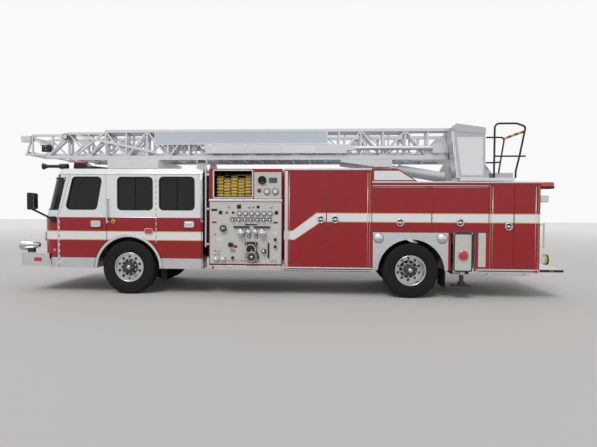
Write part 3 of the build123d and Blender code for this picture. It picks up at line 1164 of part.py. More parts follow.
def lift_cylinders():
    """Twin lift cylinders, drawn along X from the rear pin and tilted to the front pin."""
    dx, dz = ROD_PIN[0] - LIFT_PIN[0], ROD_PIN[1] - LIFT_PIN[1]
    reach = math.hypot(dx, dz)
    angle = math.degrees(math.atan2(dz, -dx))
    place = Pos(LIFT_PIN[0], 0, LIFT_PIN[1]) * Rot(0, angle, 0)
    barrel = along(0, 0, BARREL_R, -BARREL_FRONT, -92) + along(0, 0, BARREL_R + 8, -BARREL_FRONT, -BARREL_FRONT + 60)
    barrel += block(-110, 0, -EYE_HALF, EYE_HALF, -50, 50) + across(0, 0, 62, -EYE_HALF, EYE_HALF)
    barrel -= across(0, 0, LIFT_PIN_R + RUN, -EYE_HALF - 1, EYE_HALF + 1)
    barrel -= along(0, 0, ROD_R + RUN, -BARREL_FRONT - 1, -180)
    stem = along(0, 0, ROD_R, -reach + 100, -200) + block(-reach, -reach + 101, -EYE_HALF, EYE_HALF, -40, 40)
    stem += across(-reach, 0, ROD_EYE_R, -EYE_HALF, EYE_HALF)
    stem -= across(-reach, 0, 28 + RUN, -EYE_HALF - 1, EYE_HALF + 1)
    for y in (-LIFT_Y, LIFT_Y):
        put("lift_barrels", Pos(0, y, 0) * place * barrel)
        put("lift_rods", Pos(0, y, 0) * place * stem)


# outrigger legs
COVER = (LEG_X - 182, LEG_X + 182, 533, 1279)
COVER_T = 15
LEG_Z0, LEG_Z1 = 470, 1200
JACK_R = 42
FOOT = (165, 140, 242, 272)


def outriggers():
    """Sliding beams with their leg tubes and covers, and the jacks inside the legs."""
    for name, x in BEAM_X.items():
        beam = block(x - BEAM_W / 2, x + BEAM_W / 2, -LEG_Y + 20, 900, BEAM_Z0, BEAM_Z1)
        beam += upright(LEG_X, -LEG_Y, LEG_R, LEG_Z0, LEG_Z1)
        x0, x1, z0, z1 = COVER
        beam += block(x0, x1, -BODY_HALF - 2, -BODY_HALF - 2 + COVER_T, z0, z1)
        for z in (600, 1100):
            beam += block(LEG_X - 50, LEG_X + 50, -BODY_HALF - 2 + COVER_T - 1, -LEG_Y, z, z + 60)
        beam += across(LEG_X, 854, 88, -BODY_HALF - 40, -BODY_HALF - 1)
        beam -= upright(LEG_X, -LEG_Y, JACK_R + RUN, LEG_Z0 - 1, 1010)
        jack = upright(LEG_X, -LEG_Y, JACK_R, FOOT[3] - 1, 1000)
        jack += upright(LEG_X, -LEG_Y, 70, FOOT[3] - 1, FOOT[3] + 60)
        jack += block(LEG_X - FOOT[0], LEG_X + FOOT[0], -LEG_Y - FOOT[1] + 40, -LEG_Y + FOOT[1], FOOT[2], FOOT[3])
        if name == "right":
            beam, jack = mirrored(beam), mirrored(jack)
        put("outrigger_beam_" + name, beam)
        put("outrigger_jack_" + name, jack)


def finish():
    """Moves every piece to the part's origin and writes it."""
    for name, solids in NODES.items():
        moved = [Pos(SHIFT_X, 0, 0) * solid for shape in solids for solid in shape.solids()]
        shape = moved[0] if len(moved) == 1 else Compound(children=moved)
        export_step(shape, "parts/" + name + ".step")


for build in (chassis_frame, front_bumper, cab_shell, cab_doors, cab_interior, mirrors, warning_lights, horns,
              grab_rails, wheels, knuckles, axles, pump_house, pump_panels, crosslay_hose, body_shell, locker_doors,
              wheel_arches, tailboard, roof_fittings, turntable, turntable_rails, ladder, lift_cylinders,
              outriggers):
    build()
finish()
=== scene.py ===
"""Looks of the fire engine: its finishes, its fine pieces, the studio and the camera.

Places are written as the part's drawing gives them, in millimetres: x from the front axle towards the
rear, y from the centre line with the driver's side negative, z from the ground. place() turns them into
the frame's metres.

A piece on the side of the vehicle stands on a face, and a depth is measured outward from that face.
A row for a plate is (x low, x high, z low, z high, depth low, depth high, finish, bevel).
A row for a knob is (profile, x, z, finish, steps, depth), where the profile is turned about the outward line.
"""
import math

import bmesh
import bpy
from mathutils import Matrix, Vector


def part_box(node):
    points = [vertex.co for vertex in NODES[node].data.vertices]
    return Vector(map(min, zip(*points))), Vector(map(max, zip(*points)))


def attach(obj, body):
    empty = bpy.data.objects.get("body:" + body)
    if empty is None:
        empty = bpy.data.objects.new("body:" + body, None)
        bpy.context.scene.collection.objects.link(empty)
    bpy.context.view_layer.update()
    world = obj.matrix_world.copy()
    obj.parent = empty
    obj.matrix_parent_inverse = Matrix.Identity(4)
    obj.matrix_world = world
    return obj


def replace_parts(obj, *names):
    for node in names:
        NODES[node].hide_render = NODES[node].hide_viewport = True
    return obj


bl_info = {
    "name": "Fire engine looks",
    "version": (1, 0, 0),
    "blender": (4, 5, 0),
    "location": "View3D > Sidebar > Fire engine",
    "description": "Finishes and fine pieces of an aerial ladder fire engine",
    "category": "Object",
}

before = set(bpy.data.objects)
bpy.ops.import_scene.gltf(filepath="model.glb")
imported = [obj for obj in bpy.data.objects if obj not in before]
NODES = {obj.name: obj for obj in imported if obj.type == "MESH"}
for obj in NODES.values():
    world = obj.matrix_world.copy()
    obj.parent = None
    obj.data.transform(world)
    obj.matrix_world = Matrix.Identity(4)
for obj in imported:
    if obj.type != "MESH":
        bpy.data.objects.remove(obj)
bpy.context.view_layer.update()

MM = 0.001
HUB_LOW, HUB_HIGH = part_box("front_rim_left")
AXLE_X = (HUB_LOW.x + HUB_HIGH.x) / 2
SIDES = {"left": -1, "right": 1}

# sizes of the drawing that several pieces share
WHEELBASE = 5600
TYRE_R = 535
ARCH_Z = 510
CAB_SIDE = 1225
BODY_SIDE = 1240
PUMP_SIDE = 1242


def place(x, y, z):
    """Point of the frame for a place of the drawing."""
    return Vector((AXLE_X + x * MM, y * MM, z * MM))


def spokes(count, ahead=0.0):
    """Cosine and sine of evenly spaced directions, the first ahead by a share of the pitch."""
    angles = [2 * math.pi * (k + ahead) / count for k in range(count)]
    return [(math.cos(angle), math.sin(angle)) for angle in angles]


def darker(colour, share):
    """Colour brought down to a share of its brightness."""
    return tuple(part * share for part in colour)


class Finish:
    """One procedural material, built node by node."""

    def __init__(self, name, colour, rough=0.5, metal=0.0, coat=0.0, alpha=1.0, specular=0.5):
        self.material = bpy.data.materials.new(name)
        self.material.use_nodes = True
        self.tree = self.material.node_tree
        self.shader = self.tree.nodes["Principled BSDF"]
        self.coords = self.node("ShaderNodeTexCoord").outputs["Object"]
        for label, value in (("Base Color", (*colour, 1)), ("Roughness", rough), ("Metallic", metal),
                             ("Coat Weight", coat), ("Coat Roughness", 0.06), ("Alpha", alpha),
                             ("Specular IOR Level", specular)):
            self.send(label, value)

    def node(self, kind, **settings):
        """A node with its settings."""
        made = self.tree.nodes.new(kind)
        for key, value in settings.items():
            setattr(made, key, value)
        return made

    def put(self, socket, value):
        """Links an output to an input, or sets the input to a number or colour."""
        if isinstance(value, bpy.types.NodeSocket):
            self.tree.links.new(value, socket)
        else:
            socket.default_value = value

    def send(self, label, value):
        """Sends a value or an output to an input of the shader."""
        self.put(self.shader.inputs[label], value)

    def math(self, operation, *values):
        """Result of a sum on numbers or outputs."""
        made = self.node("ShaderNodeMath", operation=operation)
        for socket, value in zip(made.inputs, values):
            self.put(socket, value)
        return made.outputs[0]

    def times(self, first, second):
        """Product of two numbers or outputs."""
        return self.math("MULTIPLY", first, second)

    def wave(self, value, count):
        """Sine of a value taken a number of times."""
        return self.math("SINE", self.times(value, count))

    def axis(self, name):
        """X, Y or Z of the place on the piece, in metres."""
        split = self.node("ShaderNodeSeparateXYZ")
        self.put(split.inputs[0], self.coords)
        return split.outputs[name]

    def ramp(self, value, low, high, out_low=0.0, out_high=1.0):
        """Value brought from one range to another, held at the ends."""
        made = self.node("ShaderNodeMapRange")
        for socket, number in zip(made.inputs[:5], (value, low, high, out_low, out_high)):
            self.put(socket, number)
        return made.outputs[0]

    def above(self, value, edge):
        """1 above an edge, 0 below it."""
        return self.math("GREATER_THAN", value, edge)

    def below(self, value, edge):
        """1 below an edge, 0 above it."""
        return self.math("LESS_THAN", value, edge)

    def between(self, value, low, high):
        """1 between two edges, 0 outside them."""
        return self.times(self.above(value, low), self.below(value, high))

    def off_centre(self):
        """Distance from the vehicle's centre line, in metres."""
        return self.math("ABSOLUTE", self.axis("Y"))

    def noise(self, scale, detail=3.0, stretch=(1, 1, 1), seed=0.0):
        """Cloudy pattern, drawn out along an axis if asked."""
        spot = self.node("ShaderNodeMapping")
        self.put(spot.inputs["Vector"], self.coords)
        spot.inputs["Scale"].default_value = stretch
        spot.inputs["Location"].default_value = (seed, seed, seed)
        made = self.node("ShaderNodeTexNoise")
        self.put(made.inputs["Vector"], spot.outputs[0])
        made.inputs["Scale"].default_value = scale
        made.inputs["Detail"].default_value = detail
        return made.outputs[0]

    def mix(self, share, first, second):
        """Second colour over the first by the share."""
        made = self.node("ShaderNodeMix", data_type="RGBA")
        self.put(made.inputs[0], share)
        for socket, colour in zip((made.inputs[6], made.inputs[7]), (first, second)):
            self.put(socket, colour if isinstance(colour, bpy.types.NodeSocket) else (*colour, 1))
        return made.outputs[2]

    def colour(self, share, first, second):
        """Mixes two colours for the shader."""
        self.send("Base Color", self.mix(share, first, second))

    def uneven(self, pattern, low, high, edges=(0.3, 0.7)):
        """Roughness that follows a pattern between two values."""
        self.send("Roughness", self.ramp(pattern, *edges, low, high))

    def bump(self, height, strength=0.2, depth=0.002):
        """Raises the surface by a pattern."""
        made = self.node("ShaderNodeBump")
        made.inputs["Strength"].default_value = strength
        made.inputs["Distance"].default_value = depth
        self.put(made.inputs["Height"], height)
        self.send("Normal", made.outputs[0])


class PaintSettings(bpy.types.PropertyGroup):
    """Colours of the paint and the stripes."""

    red: bpy.props.FloatVectorProperty(name="Red", description="Main paint", subtype="COLOR",
                                       default=(0.31, 0.004, 0.010))
    white: bpy.props.FloatVectorProperty(name="White", description="Upper cab and stripes", subtype="COLOR",
                                         default=(0.80, 0.81, 0.83))
    gold: bpy.props.FloatVectorProperty(name="Gold", description="Edge lines of the stripes", subtype="COLOR",
                                        default=(0.62, 0.42, 0.10))


# colours of the settings, filled when the finishes are made
TINT = {}
STEEL = (0.66, 0.67, 0.69)
BLACK = (0.012, 0.012, 0.014)
DUST = (0.45, 0.42, 0.38)
PLATFORM_GREY = (0.50, 0.52, 0.55)

# edges in the paint, in metres: heights, distances behind the front axle and half widths
CAB_STRIPE = (1.080, 1.266)
CAB_WHITE_FROM = 1.538
SKIRT_TOP = 0.725
EDGE_LINE = 0.016
CAB_ROOM_HALF, CAB_ROOM_FRONT, CAB_ROOM_REAR, CAB_ROOM_TOP = 1.2, -1.46, 1.49, 2.4
CAB_REAR_WALL = 1.5105
BODY_SKIN = 1.22
PUMP_SKIN = 1.2285
PLATFORM_TOP = 2.360
# the body's stripe climbs: start and end behind the axle, height before and after
STEP_TOP = (3.300, 3.767, 1.303, 1.655)
STEP_BOTTOM = (3.340, 3.856, 1.117, 1.471)
BARE_METAL = 0.9


def paint(name, colour, dust=0.025):
    """Glossy coach paint with orange peel and a faint film of dust low down."""
    finish = Finish(name, colour, rough=0.22, coat=0.25, specular=0.3)
    dusty = finish.times(finish.noise(3.0, 5.0), dust * 2)
    finish.film = finish.times(dusty, finish.ramp(finish.axis("Z"), 0.5, 1.3, 1.0, 0.35))
    finish.colour(finish.film, colour, DUST)
    finish.uneven(finish.noise(7.0), 0.18, 0.3)
    finish.bump(finish.noise(90.0, 1.0), 0.02, 0.001)
    return finish


def striped(finish, base, z, low, high):
    """White stripe with gold edge lines between two heights."""
    over = finish.mix(finish.between(z, low, high), base, TINT["gold"])
    inner = finish.between(z, finish.math("ADD", low, EDGE_LINE), finish.math("SUBTRACT", high, EDGE_LINE))
    return finish.mix(inner, over, TINT["white"])


def cab_livery_and_painted_shade():
    """Red cab with a striped belt, white above the waist, steel skirt, black inside, and black at the rear
    wall as painted shade in the gap to the pump house.
    """
    finish = paint("cab_paint_and_shade", TINT["red"])
    x, z = finish.axis("X"), finish.axis("Z")
    colour = finish.mix(finish.above(z, CAB_WHITE_FROM), TINT["red"], TINT["white"])
    colour = striped(finish, colour, z, *CAB_STRIPE)
    inside = finish.times(finish.below(finish.off_centre(), CAB_ROOM_HALF),
                          finish.between(x, AXLE_X + CAB_ROOM_FRONT, AXLE_X + CAB_ROOM_REAR))
    inside = finish.times(inside, finish.below(z, CAB_ROOM_TOP))
    colour = finish.mix(inside, colour, BLACK)
    skirt = finish.below(z, SKIRT_TOP)
    colour = finish.mix(skirt, colour, STEEL)
    # painted shade: the cab's rear wall, which faces the gap to the pump house, is made black
    colour = finish.mix(finish.above(x, AXLE_X + CAB_REAR_WALL), colour, BLACK)
    finish.colour(finish.film, colour, DUST)
    finish.send("Metallic", finish.times(skirt, BARE_METAL))
    return finish.material


def body_livery():
    """Red body whose stripe steps up behind the pump, steel inside."""
    finish = paint("body_paint", TINT["red"])
    bottom, top = (finish.ramp(finish.axis("X"), AXLE_X + start, AXLE_X + end, low, high)
                   for start, end, low, high in (STEP_BOTTOM, STEP_TOP))
    colour = striped(finish, TINT["red"], finish.axis("Z"), bottom, top)
    colour = finish.mix(finish.above(finish.off_centre(), BODY_SKIN), STEEL, colour)
    finish.colour(finish.film, colour, DUST)
    return finish.material


def pump_red_and_painted_shade():
    """Red outside; black on every face within the skin, which is painted shade in the gaps towards the cab
    and the body and also covers the inside of the hose bin.
    """
    finish = paint("pump_paint_and_shade", TINT["red"])
    # painted shade: faces within the skin, towards the cab and the body, are black; the same black covers the
    # inside of the hose bin
    colour = finish.mix(finish.above(finish.off_centre(), PUMP_SKIN), BLACK, TINT["red"])
    finish.colour(finish.film, colour, DUST)
    return finish.material


def turntable_livery():
    """Grey paint above the bright plate of the platform."""
    finish = paint("turntable_paint", PLATFORM_GREY)
    plate = finish.below(finish.axis("Z"), PLATFORM_TOP)
    finish.colour(plate, PLATFORM_GREY, STEEL)
    finish.send("Metallic", finish.times(plate, BARE_METAL))
    return finish.material


def plain_paint(name, colour, rough=0.3):
    """Paint of one colour with slight soiling."""
    finish = paint(name, colour, 0.03)
    finish.uneven(finish.noise(9.0), rough - 0.06, rough + 0.1)
    return finish.material


def brushed(name, colour, grain=(1, 1, 40), rough=0.32, wear=0.12):
    """Rolled or brushed metal with a fine grain and cloudy wear."""
    finish = Finish(name, colour, rough=rough, metal=1.0)
    lines = finish.noise(60.0, 2.0, grain)
    clouds = finish.noise(4.0, 4.0, seed=3.0)
    finish.colour(finish.times(finish.math("ADD", lines, clouds), wear * 2.4), colour, darker(colour, 0.72))
    finish.uneven(clouds, rough - 0.06, rough + 0.14)
    finish.bump(lines, 0.05, 0.0005)
    return finish.material


def tread_plate():
    """Bright plate with raised lozenges set crosswise."""
    finish = Finish("tread_plate", (0.62, 0.63, 0.65), rough=0.3, metal=1.0)
    pitch = 0.034
    x, y = (finish.times(finish.axis(name), 1 / pitch) for name in "XY")
    wave = finish.times(finish.wave(finish.math("ADD", x, y), math.pi),
                        finish.wave(finish.math("SUBTRACT", x, y), math.pi))
    raised = finish.ramp(wave, 0.35, 0.6)
    finish.colour(raised, (0.48, 0.49, 0.5), (0.8, 0.8, 0.82))
    finish.uneven(finish.noise(12.0), 0.25, 0.45)
    finish.bump(raised, 0.5, 0.0015)
    return finish.material


def rubber(name, colour, dust):
    """Rubber greyed by road dust."""
    finish = Finish(name, colour, rough=0.75, specular=0.2)
    finish.colour(finish.times(finish.noise(14.0, 5.0), dust), colour, (0.16, 0.14, 0.12))
    finish.uneven(finish.noise(30.0), 0.6, 0.85)
    finish.bump(finish.noise(220.0, 2.0), 0.15, 0.0008)
    return finish.material


def plastic(name, colour, rough=0.4):
    """Moulded plastic with a fine grain."""
    finish = Finish(name, colour, rough=rough, specular=0.3)
    finish.colour(finish.noise(8.0, 4.0), colour, darker(colour, 0.8))
    finish.uneven(finish.noise(20.0), rough - 0.07, rough + 0.1)
    finish.bump(finish.noise(260.0, 1.0), 0.08, 0.0005)
    return finish.material


def lens(name, colour, glow=0.0):
    """Moulded lamp lens with fine upright flutes under a clear face."""
    finish = Finish(name, colour, rough=0.12, coat=1.0)
    flutes = finish.wave(finish.math("ADD", finish.axis("X"), finish.axis("Y")), 620.0)
    finish.colour(finish.ramp(flutes, -1, 1, 0.0, 0.5), colour, darker(colour, 0.45))
    finish.bump(flutes, 0.12, 0.001)
    finish.send("Emission Color", (*colour, 1))
    finish.send("Emission Strength", glow)
    return finish.material


def window_glass():
    """Tinted glass, dark inside, with a light film of dust."""
    finish = Finish("window_glass", (0.008, 0.010, 0.010), rough=0.03, coat=0.08, alpha=0.82, specular=0.3)
    finish.uneven(finish.noise(5.0, 5.0), 0.02, 0.12, (0.4, 0.8))
    return finish.material


def chrome():
    """Bright plating with faint water marks."""
    finish = Finish("chrome", (0.58, 0.59, 0.61), rough=0.07, metal=1.0)
    finish.uneven(finish.noise(25.0, 4.0), 0.05, 0.16, (0.35, 0.8))
    return finish.material


def woven(name, colour, other, threads=900.0):
    """Woven jacket of hose or trim, with crossing threads."""
    finish = Finish(name, colour, rough=0.85)
    weave = finish.times(finish.wave(finish.axis("X"), threads), finish.wave(finish.axis("Z"), threads))
    finish.colour(finish.times(finish.noise(9.0, 5.0), 0.8), colour, other)
    finish.bump(weave, 0.25, 0.0008)
    finish.send("Sheen Weight", 0.3)
    return finish.material


def cast(name, colour):
    """Rough casting with oil and dust."""
    finish = Finish(name, colour, rough=0.7, metal=0.3)
    finish.colour(finish.noise(11.0, 6.0), colour, (0.10, 0.085, 0.07))
    finish.bump(finish.noise(140.0, 4.0), 0.3, 0.001)
    return finish.material


MATERIALS = {}


def make_finishes():
    """Every finish by its name."""
    return {
        "cab_paint_and_shade": cab_livery_and_painted_shade(),
        "body_paint": body_livery(),
        "pump_paint_and_shade": pump_red_and_painted_shade(),
        "turntable_paint": turntable_livery(),
        "sign": plain_paint("sign_plate", (0.56, 0.62, 0.68), 0.4),
        "warm_grey": plain_paint("panel_warm_grey", (0.60, 0.59, 0.56), 0.35),
        "red": plain_paint("red_paint", TINT["red"]),
        "white": plain_paint("white_paint", TINT["white"]),
        "grey": plain_paint("grey_paint", (0.52, 0.54, 0.57), 0.35),
        "black": plain_paint("black_paint", BLACK, 0.4),
        "steel": brushed("stainless", STEEL),
        "ladder": brushed("ladder_alloy", (0.66, 0.67, 0.69), (40, 1, 1), 0.38, 0.10),
        "disc": brushed("wheel_disc", (0.60, 0.61, 0.62), (1, 1, 1), 0.22, 0.08),
        "tread": tread_plate(),
        "chrome": chrome(),
        "iron": cast("cast_iron", (0.03, 0.03, 0.032)),
        "rubber": rubber("tyre_rubber", (0.008, 0.008, 0.008), 0.05),
        "gasket": rubber("gasket_rubber", (0.010, 0.010, 0.011), 0.1),
        "plastic": plastic("black_plastic", (0.014, 0.014, 0.015)),
        "white_plastic": plastic("white_plastic", (0.78, 0.79, 0.80), 0.3),
        "lens_dark": lens("dark_lens", (0.02, 0.022, 0.028)),
        "panel_black": plastic("panel_black", (0.02, 0.021, 0.024), 0.5),
        "red_lens": lens("red_lens", (0.50, 0.01, 0.012), 0.15),
        "amber_lens": lens("amber_lens", (0.72, 0.24, 0.01), 0.1),
        "clear_lens": lens("clear_lens", (0.80, 0.82, 0.84)),
        "blue_grey": plastic("band_blue_grey", (0.30, 0.36, 0.44), 0.45),
        "label_red": plastic("label_red", (0.42, 0.02, 0.02), 0.45),
        "dial": plastic("dial_white", (0.84, 0.84, 0.80), 0.35),
        "brass": brushed("brass", (0.62, 0.44, 0.16), (1, 1, 1), 0.3, 0.2),
        "yellow": plastic("yellow_plastic", (0.68, 0.50, 0.04), 0.45),
        "glass": window_glass(),
        "hose": woven("hose_jacket", (0.74, 0.53, 0.09), (0.40, 0.29, 0.08)),
        "trim": woven("seat_trim", (0.045, 0.047, 0.055), (0.02, 0.02, 0.025), 700.0),
    }


# finish of each solid of the frame, and of those that come once for each side
NODE_FINISH = {
    "chassis_frame": "black", "front_bumper": "steel", "cab_shell": "cab_paint_and_shade", "cab_glass": "glass",
    "cab_interior": "trim", "engine": "iron", "front_axle": "iron", "rear_axle": "iron",
    "pump_house": "pump_paint_and_shade", "pump_panels": "warm_grey", "crosslay_hose": "hose",
    "body_shell": "body_paint", "tailboard": "tread", "wheel_arches": "steel", "warning_lights": "plastic",
    "mirrors": "plastic", "roof_unit": "white_plastic", "horns": "black", "grab_rails": "steel",
    "ladder_rest": "grey", "turntable": "turntable_paint", "turntable_rails": "black",
    "console_lid": "grey", "ladder_base": "ladder", "ladder_mid": "ladder", "ladder_fly": "ladder",
    "lift_barrels": "white", "lift_rods": "chrome",
}
SIDE_FINISH = {
    "outrigger_beam": "warm_grey", "outrigger_jack": "black", "knuckle": "iron", "front_tyre": "rubber",
    "front_rim": "disc", "rear_tyres": "rubber", "rear_rims": "disc", "front_door": "cab_paint_and_shade",
    "front_door_glass": "glass", "crew_door": "cab_paint_and_shade", "crew_door_glass": "glass",
    "upper_doors": "body_paint", "front_locker_fore": "body_paint", "front_locker_aft": "body_paint",
    "rear_locker_fore": "body_paint", "rear_locker_aft": "body_paint",
}


class Piece:
    """One object on one body, gathered from closed forms, each with a finish."""

    def __init__(self, name, body, slot, sign=1, face=0):
        self.name = name
        self.body = body
        self.slot = slot
        self.sign = sign
        self.face = face
        self.mesh = bmesh.new()
        self.finishes = []

    def dress(self, faces, finish, smooth=False, bevel=0):
        """Bevels the edges of some faces if asked and gives them a finish."""
        if bevel:
            edges = list({edge for face in faces for edge in face.edges})
            made = bmesh.ops.bevel(self.mesh, geom=edges, offset=bevel * MM, segments=2, profile=0.5,
                                   affect="EDGES", clamp_overlap=True)
            faces = list({face for vert in made["verts"] for face in vert.link_faces})
        if finish not in self.finishes:
            self.finishes.append(finish)
        for face in faces:
            face.material_index = self.finishes.index(finish)
            face.smooth = smooth
        bmesh.ops.recalc_face_normals(self.mesh, faces=faces)

    def skin(self, rings, finish, smooth=False, closed=False, bevel=0):
        """Faces between rings of points: a ring of one point is a tip, and open ends are capped."""
        rows = [[self.mesh.verts.new(point) for point in ring] for ring in rings]
        steps = max(map(len, rows))
        faces = []
        for a, b in zip(rows, rows[1:] + rows[:1] if closed else rows[1:]):
            for k in range(steps):
                after = (k + 1) % steps
                corners = dict.fromkeys((a[k % len(a)], a[after % len(a)], b[after % len(b)], b[k % len(b)]))
                if len(corners) > 2:
                    faces.append(self.mesh.faces.new(list(corners)))
        if not closed:
            faces += [self.mesh.faces.new(row) for row in (rows[0], rows[-1]) if len(row) > 1]
        self.dress(faces, finish, smooth, bevel)

    def box(self, x, y, z, finish, bevel=0, swing=None):
        """Box between pairs of ends, swung by (x, y, degrees) about an upright line if asked."""
        low, high = (place(*corner) for corner in zip(x, y, z))
        size = map(abs, high - low)
        at = Matrix.Translation((low + high) / 2) @ Matrix.Diagonal((*size, 1))
        if swing:
            pin = place(swing[0], swing[1], 0)
            turn = Matrix.Rotation(math.radians(swing[2]), 4, "Z")
            at = Matrix.Translation(pin) @ turn @ Matrix.Translation(-pin) @ at
        made = bmesh.ops.create_cube(self.mesh, size=1, matrix=at)
        self.dress(list({face for vert in made["verts"] for face in vert.link_faces}), finish, bevel=bevel)

    def slab(self, corners, y, finish, bevel=0):
        """Outline in x and z, given thickness between two y."""
        self.skin([[place(cx, depth, cz) for cx, cz in corners] for depth in y], finish, bevel=bevel)

    def turned(self, profile, centre, axis, finish, steps=24, loop=False):
        """Profile of (reach along the axis, radius) turned about an axis; a loop closes on itself."""
        way = Vector(axis).normalized()
        side = way.orthogonal().normalized()
        other = way.cross(side)
        rings = []
        for reach, radius in profile:
            middle = place(*centre) + way * reach * MM
            ways = spokes(steps if radius else 1)
            rings.append([middle + (side * c + other * s) * radius * MM for c, s in ways])
        self.skin(rings, finish, True, loop)

    def rod(self, a, b, radius, finish, steps=12):
        """Round bar between two places."""
        way = place(*b) - place(*a)
        length = way.length / MM
        ease = min(radius * 0.25, 2.0)
        profile = [(0, radius - ease), (ease, radius), (length - ease, radius), (length, radius - ease)]
        self.turned(profile, a, way, finish, steps)

    def tube(self, points, radius, finish, steps=10, closed=False):
        """Round tube along places joined by a smooth path."""
        path = [place(*point) for point in points]
        last = len(path) - 1
        rings = []
        normal = None
        for k, middle in enumerate(path):
            before = path[k - 1] if closed or k else middle
            after = path[(k + 1) % len(path)] if closed or k < last else middle
            way = (after - before).normalized()
            if normal is None:
                normal = way.orthogonal().normalized()
            normal = (normal - way * normal.dot(way)).normalized()
            other = way.cross(normal)
            rings.append([middle + (normal * c + other * s) * radius * MM for c, s in spokes(steps)])
        self.skin(rings, finish, True, closed)

    def out(self, depth):
        """y of a depth outward from the piece's face."""
        return self.sign * (self.face + depth)

    def plate(self, x0, x1, z0, z1, low, high, finish, bevel=0):
        """Box on the face, from one depth to another."""
        self.box((x0, x1), (self.out(low), self.out(high)), (z0, z1), finish, bevel)

    def plates(self, rows):
        """Every plate of a table."""
        for row in rows:
            self.plate(*row)

    def panel(self, corners, low, high, finish, bevel=0):
        """Outline on the face, from one depth to another."""
        self.slab(corners, (self.out(low), self.out(high)), finish, bevel)

    def knob(self, profile, x, z, finish, steps=24, depth=0, loop=False):
        """Profile turned about the outward line through a place of the face."""
        self.turned(profile, (x, self.out(depth), z), (0, self.sign, 0), finish, steps, loop)

    def knobs(self, rows):
        """Every knob of a table."""
        for row in rows:
            self.knob(*row)

    def bar(self, a, b, radius, finish, steps=12):
        """Round bar between two places of the face, each (x, z, depth)."""
        ends = [(x, self.out(depth), z) for x, z, depth in (a, b)]
        self.rod(*ends, radius, finish, steps)

    def rim(self, corners, radius, width, low, high, finish, steps=6):
        """Flat rim on the face that follows a polygon with rounded corners."""
        inner = rounded_outline(corners, radius, steps)
        outer = rounded_outline(grown(corners, width), radius + width, steps)
        rings = [[place(px, self.out(depth), pz) for px, pz in line]
                 for line, depth in ((inner, low), (outer, low), (outer, high), (inner, high))]
        self.skin(rings, finish, closed=True)

    def done(self):
        """Makes the object, dresses it and lets it ride on its body."""
        data = bpy.data.meshes.new(self.name)
        self.mesh.to_mesh(data)
        self.mesh.free()
        for finish in self.finishes:
            data.materials.append(MATERIALS[finish])
        return carry(self.name, self.body, data)


def carry(name, body, mesh):
    """Object that carries a finished mesh on a body."""
    made = bpy.data.objects.new(name, mesh)
    bpy.context.scene.collection.objects.link(made)
    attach(made, body)
    return made


def oblong(x0, x1, z0, z1):
    """Corners of an upright oblong."""
    return [(x0, z0), (x1, z0), (x1, z1), (x0, z1)]


def grown(corners, width):
    """Convex polygon with each side moved out by a width."""
    pairs = list(zip(corners, corners[1:] + corners[:1]))
    turn = 1 if sum(ax * bz - bx * az for (ax, az), (bx, bz) in pairs) > 0 else -1
    lines = []
    for (ax, az), (bx, bz) in pairs:
        share = turn * width / math.hypot(bx - ax, bz - az)
        lines.append((ax + (bz - az) * share, az - (bx - ax) * share, bx - ax, bz - az))
    moved = []
    for (px, pz, ux, uz), (qx, qz, vx, vz) in zip(lines[-1:] + lines[:-1], lines):
        share = ((qx - px) * vz - (qz - pz) * vx) / (ux * vz - uz * vx)
        moved.append((px + ux * share, pz + uz * share))
    return moved


def rounded_outline(corners, radius, steps):
    """Polygon with each corner turned into an arc."""
    line = []
    for k, corner in enumerate(corners):
        before, at, after = Vector(corners[k - 1]), Vector(corner), Vector(corners[(k + 1) % len(corners)])
        to_before, to_after = (before - at).normalized(), (after - at).normalized()
        half = to_before.angle(to_after) / 2
        reach = radius / math.tan(half)
        middle = at + (to_before + to_after).normalized() * radius / math.sin(half)
        start, end = at + to_before * reach - middle, at + to_after * reach - middle
        swing = start.angle_signed(end)
        line += [tuple(middle + Matrix.Rotation(-swing * j / steps, 2) @ start) for j in range(steps + 1)]
    return line


def arc_line(x, radius, lean):
    """Places (x, z) over a wheel arch, from a lean above its front end to the same at its rear end."""
    angles = [math.radians(lean + (180 - 2 * lean) * k / 40) for k in range(41)]
    return [(x - radius * math.cos(angle), ARCH_Z + radius * math.sin(angle)) for angle in angles]


def arch_edges(piece, x, white_depth, bright_depth, bright_radius):
    """White inner edge and bright outer edge of the trim round a wheel arch."""
    for radius, lean, depth, thick, finish in ((668, 2, white_depth, 6, "white"),
                                               (688, 1, bright_depth, bright_radius, "chrome")):
        piece.tube([(px, piece.out(depth), pz) for px, pz in arc_line(x, radius, lean)], thick, finish, 6)


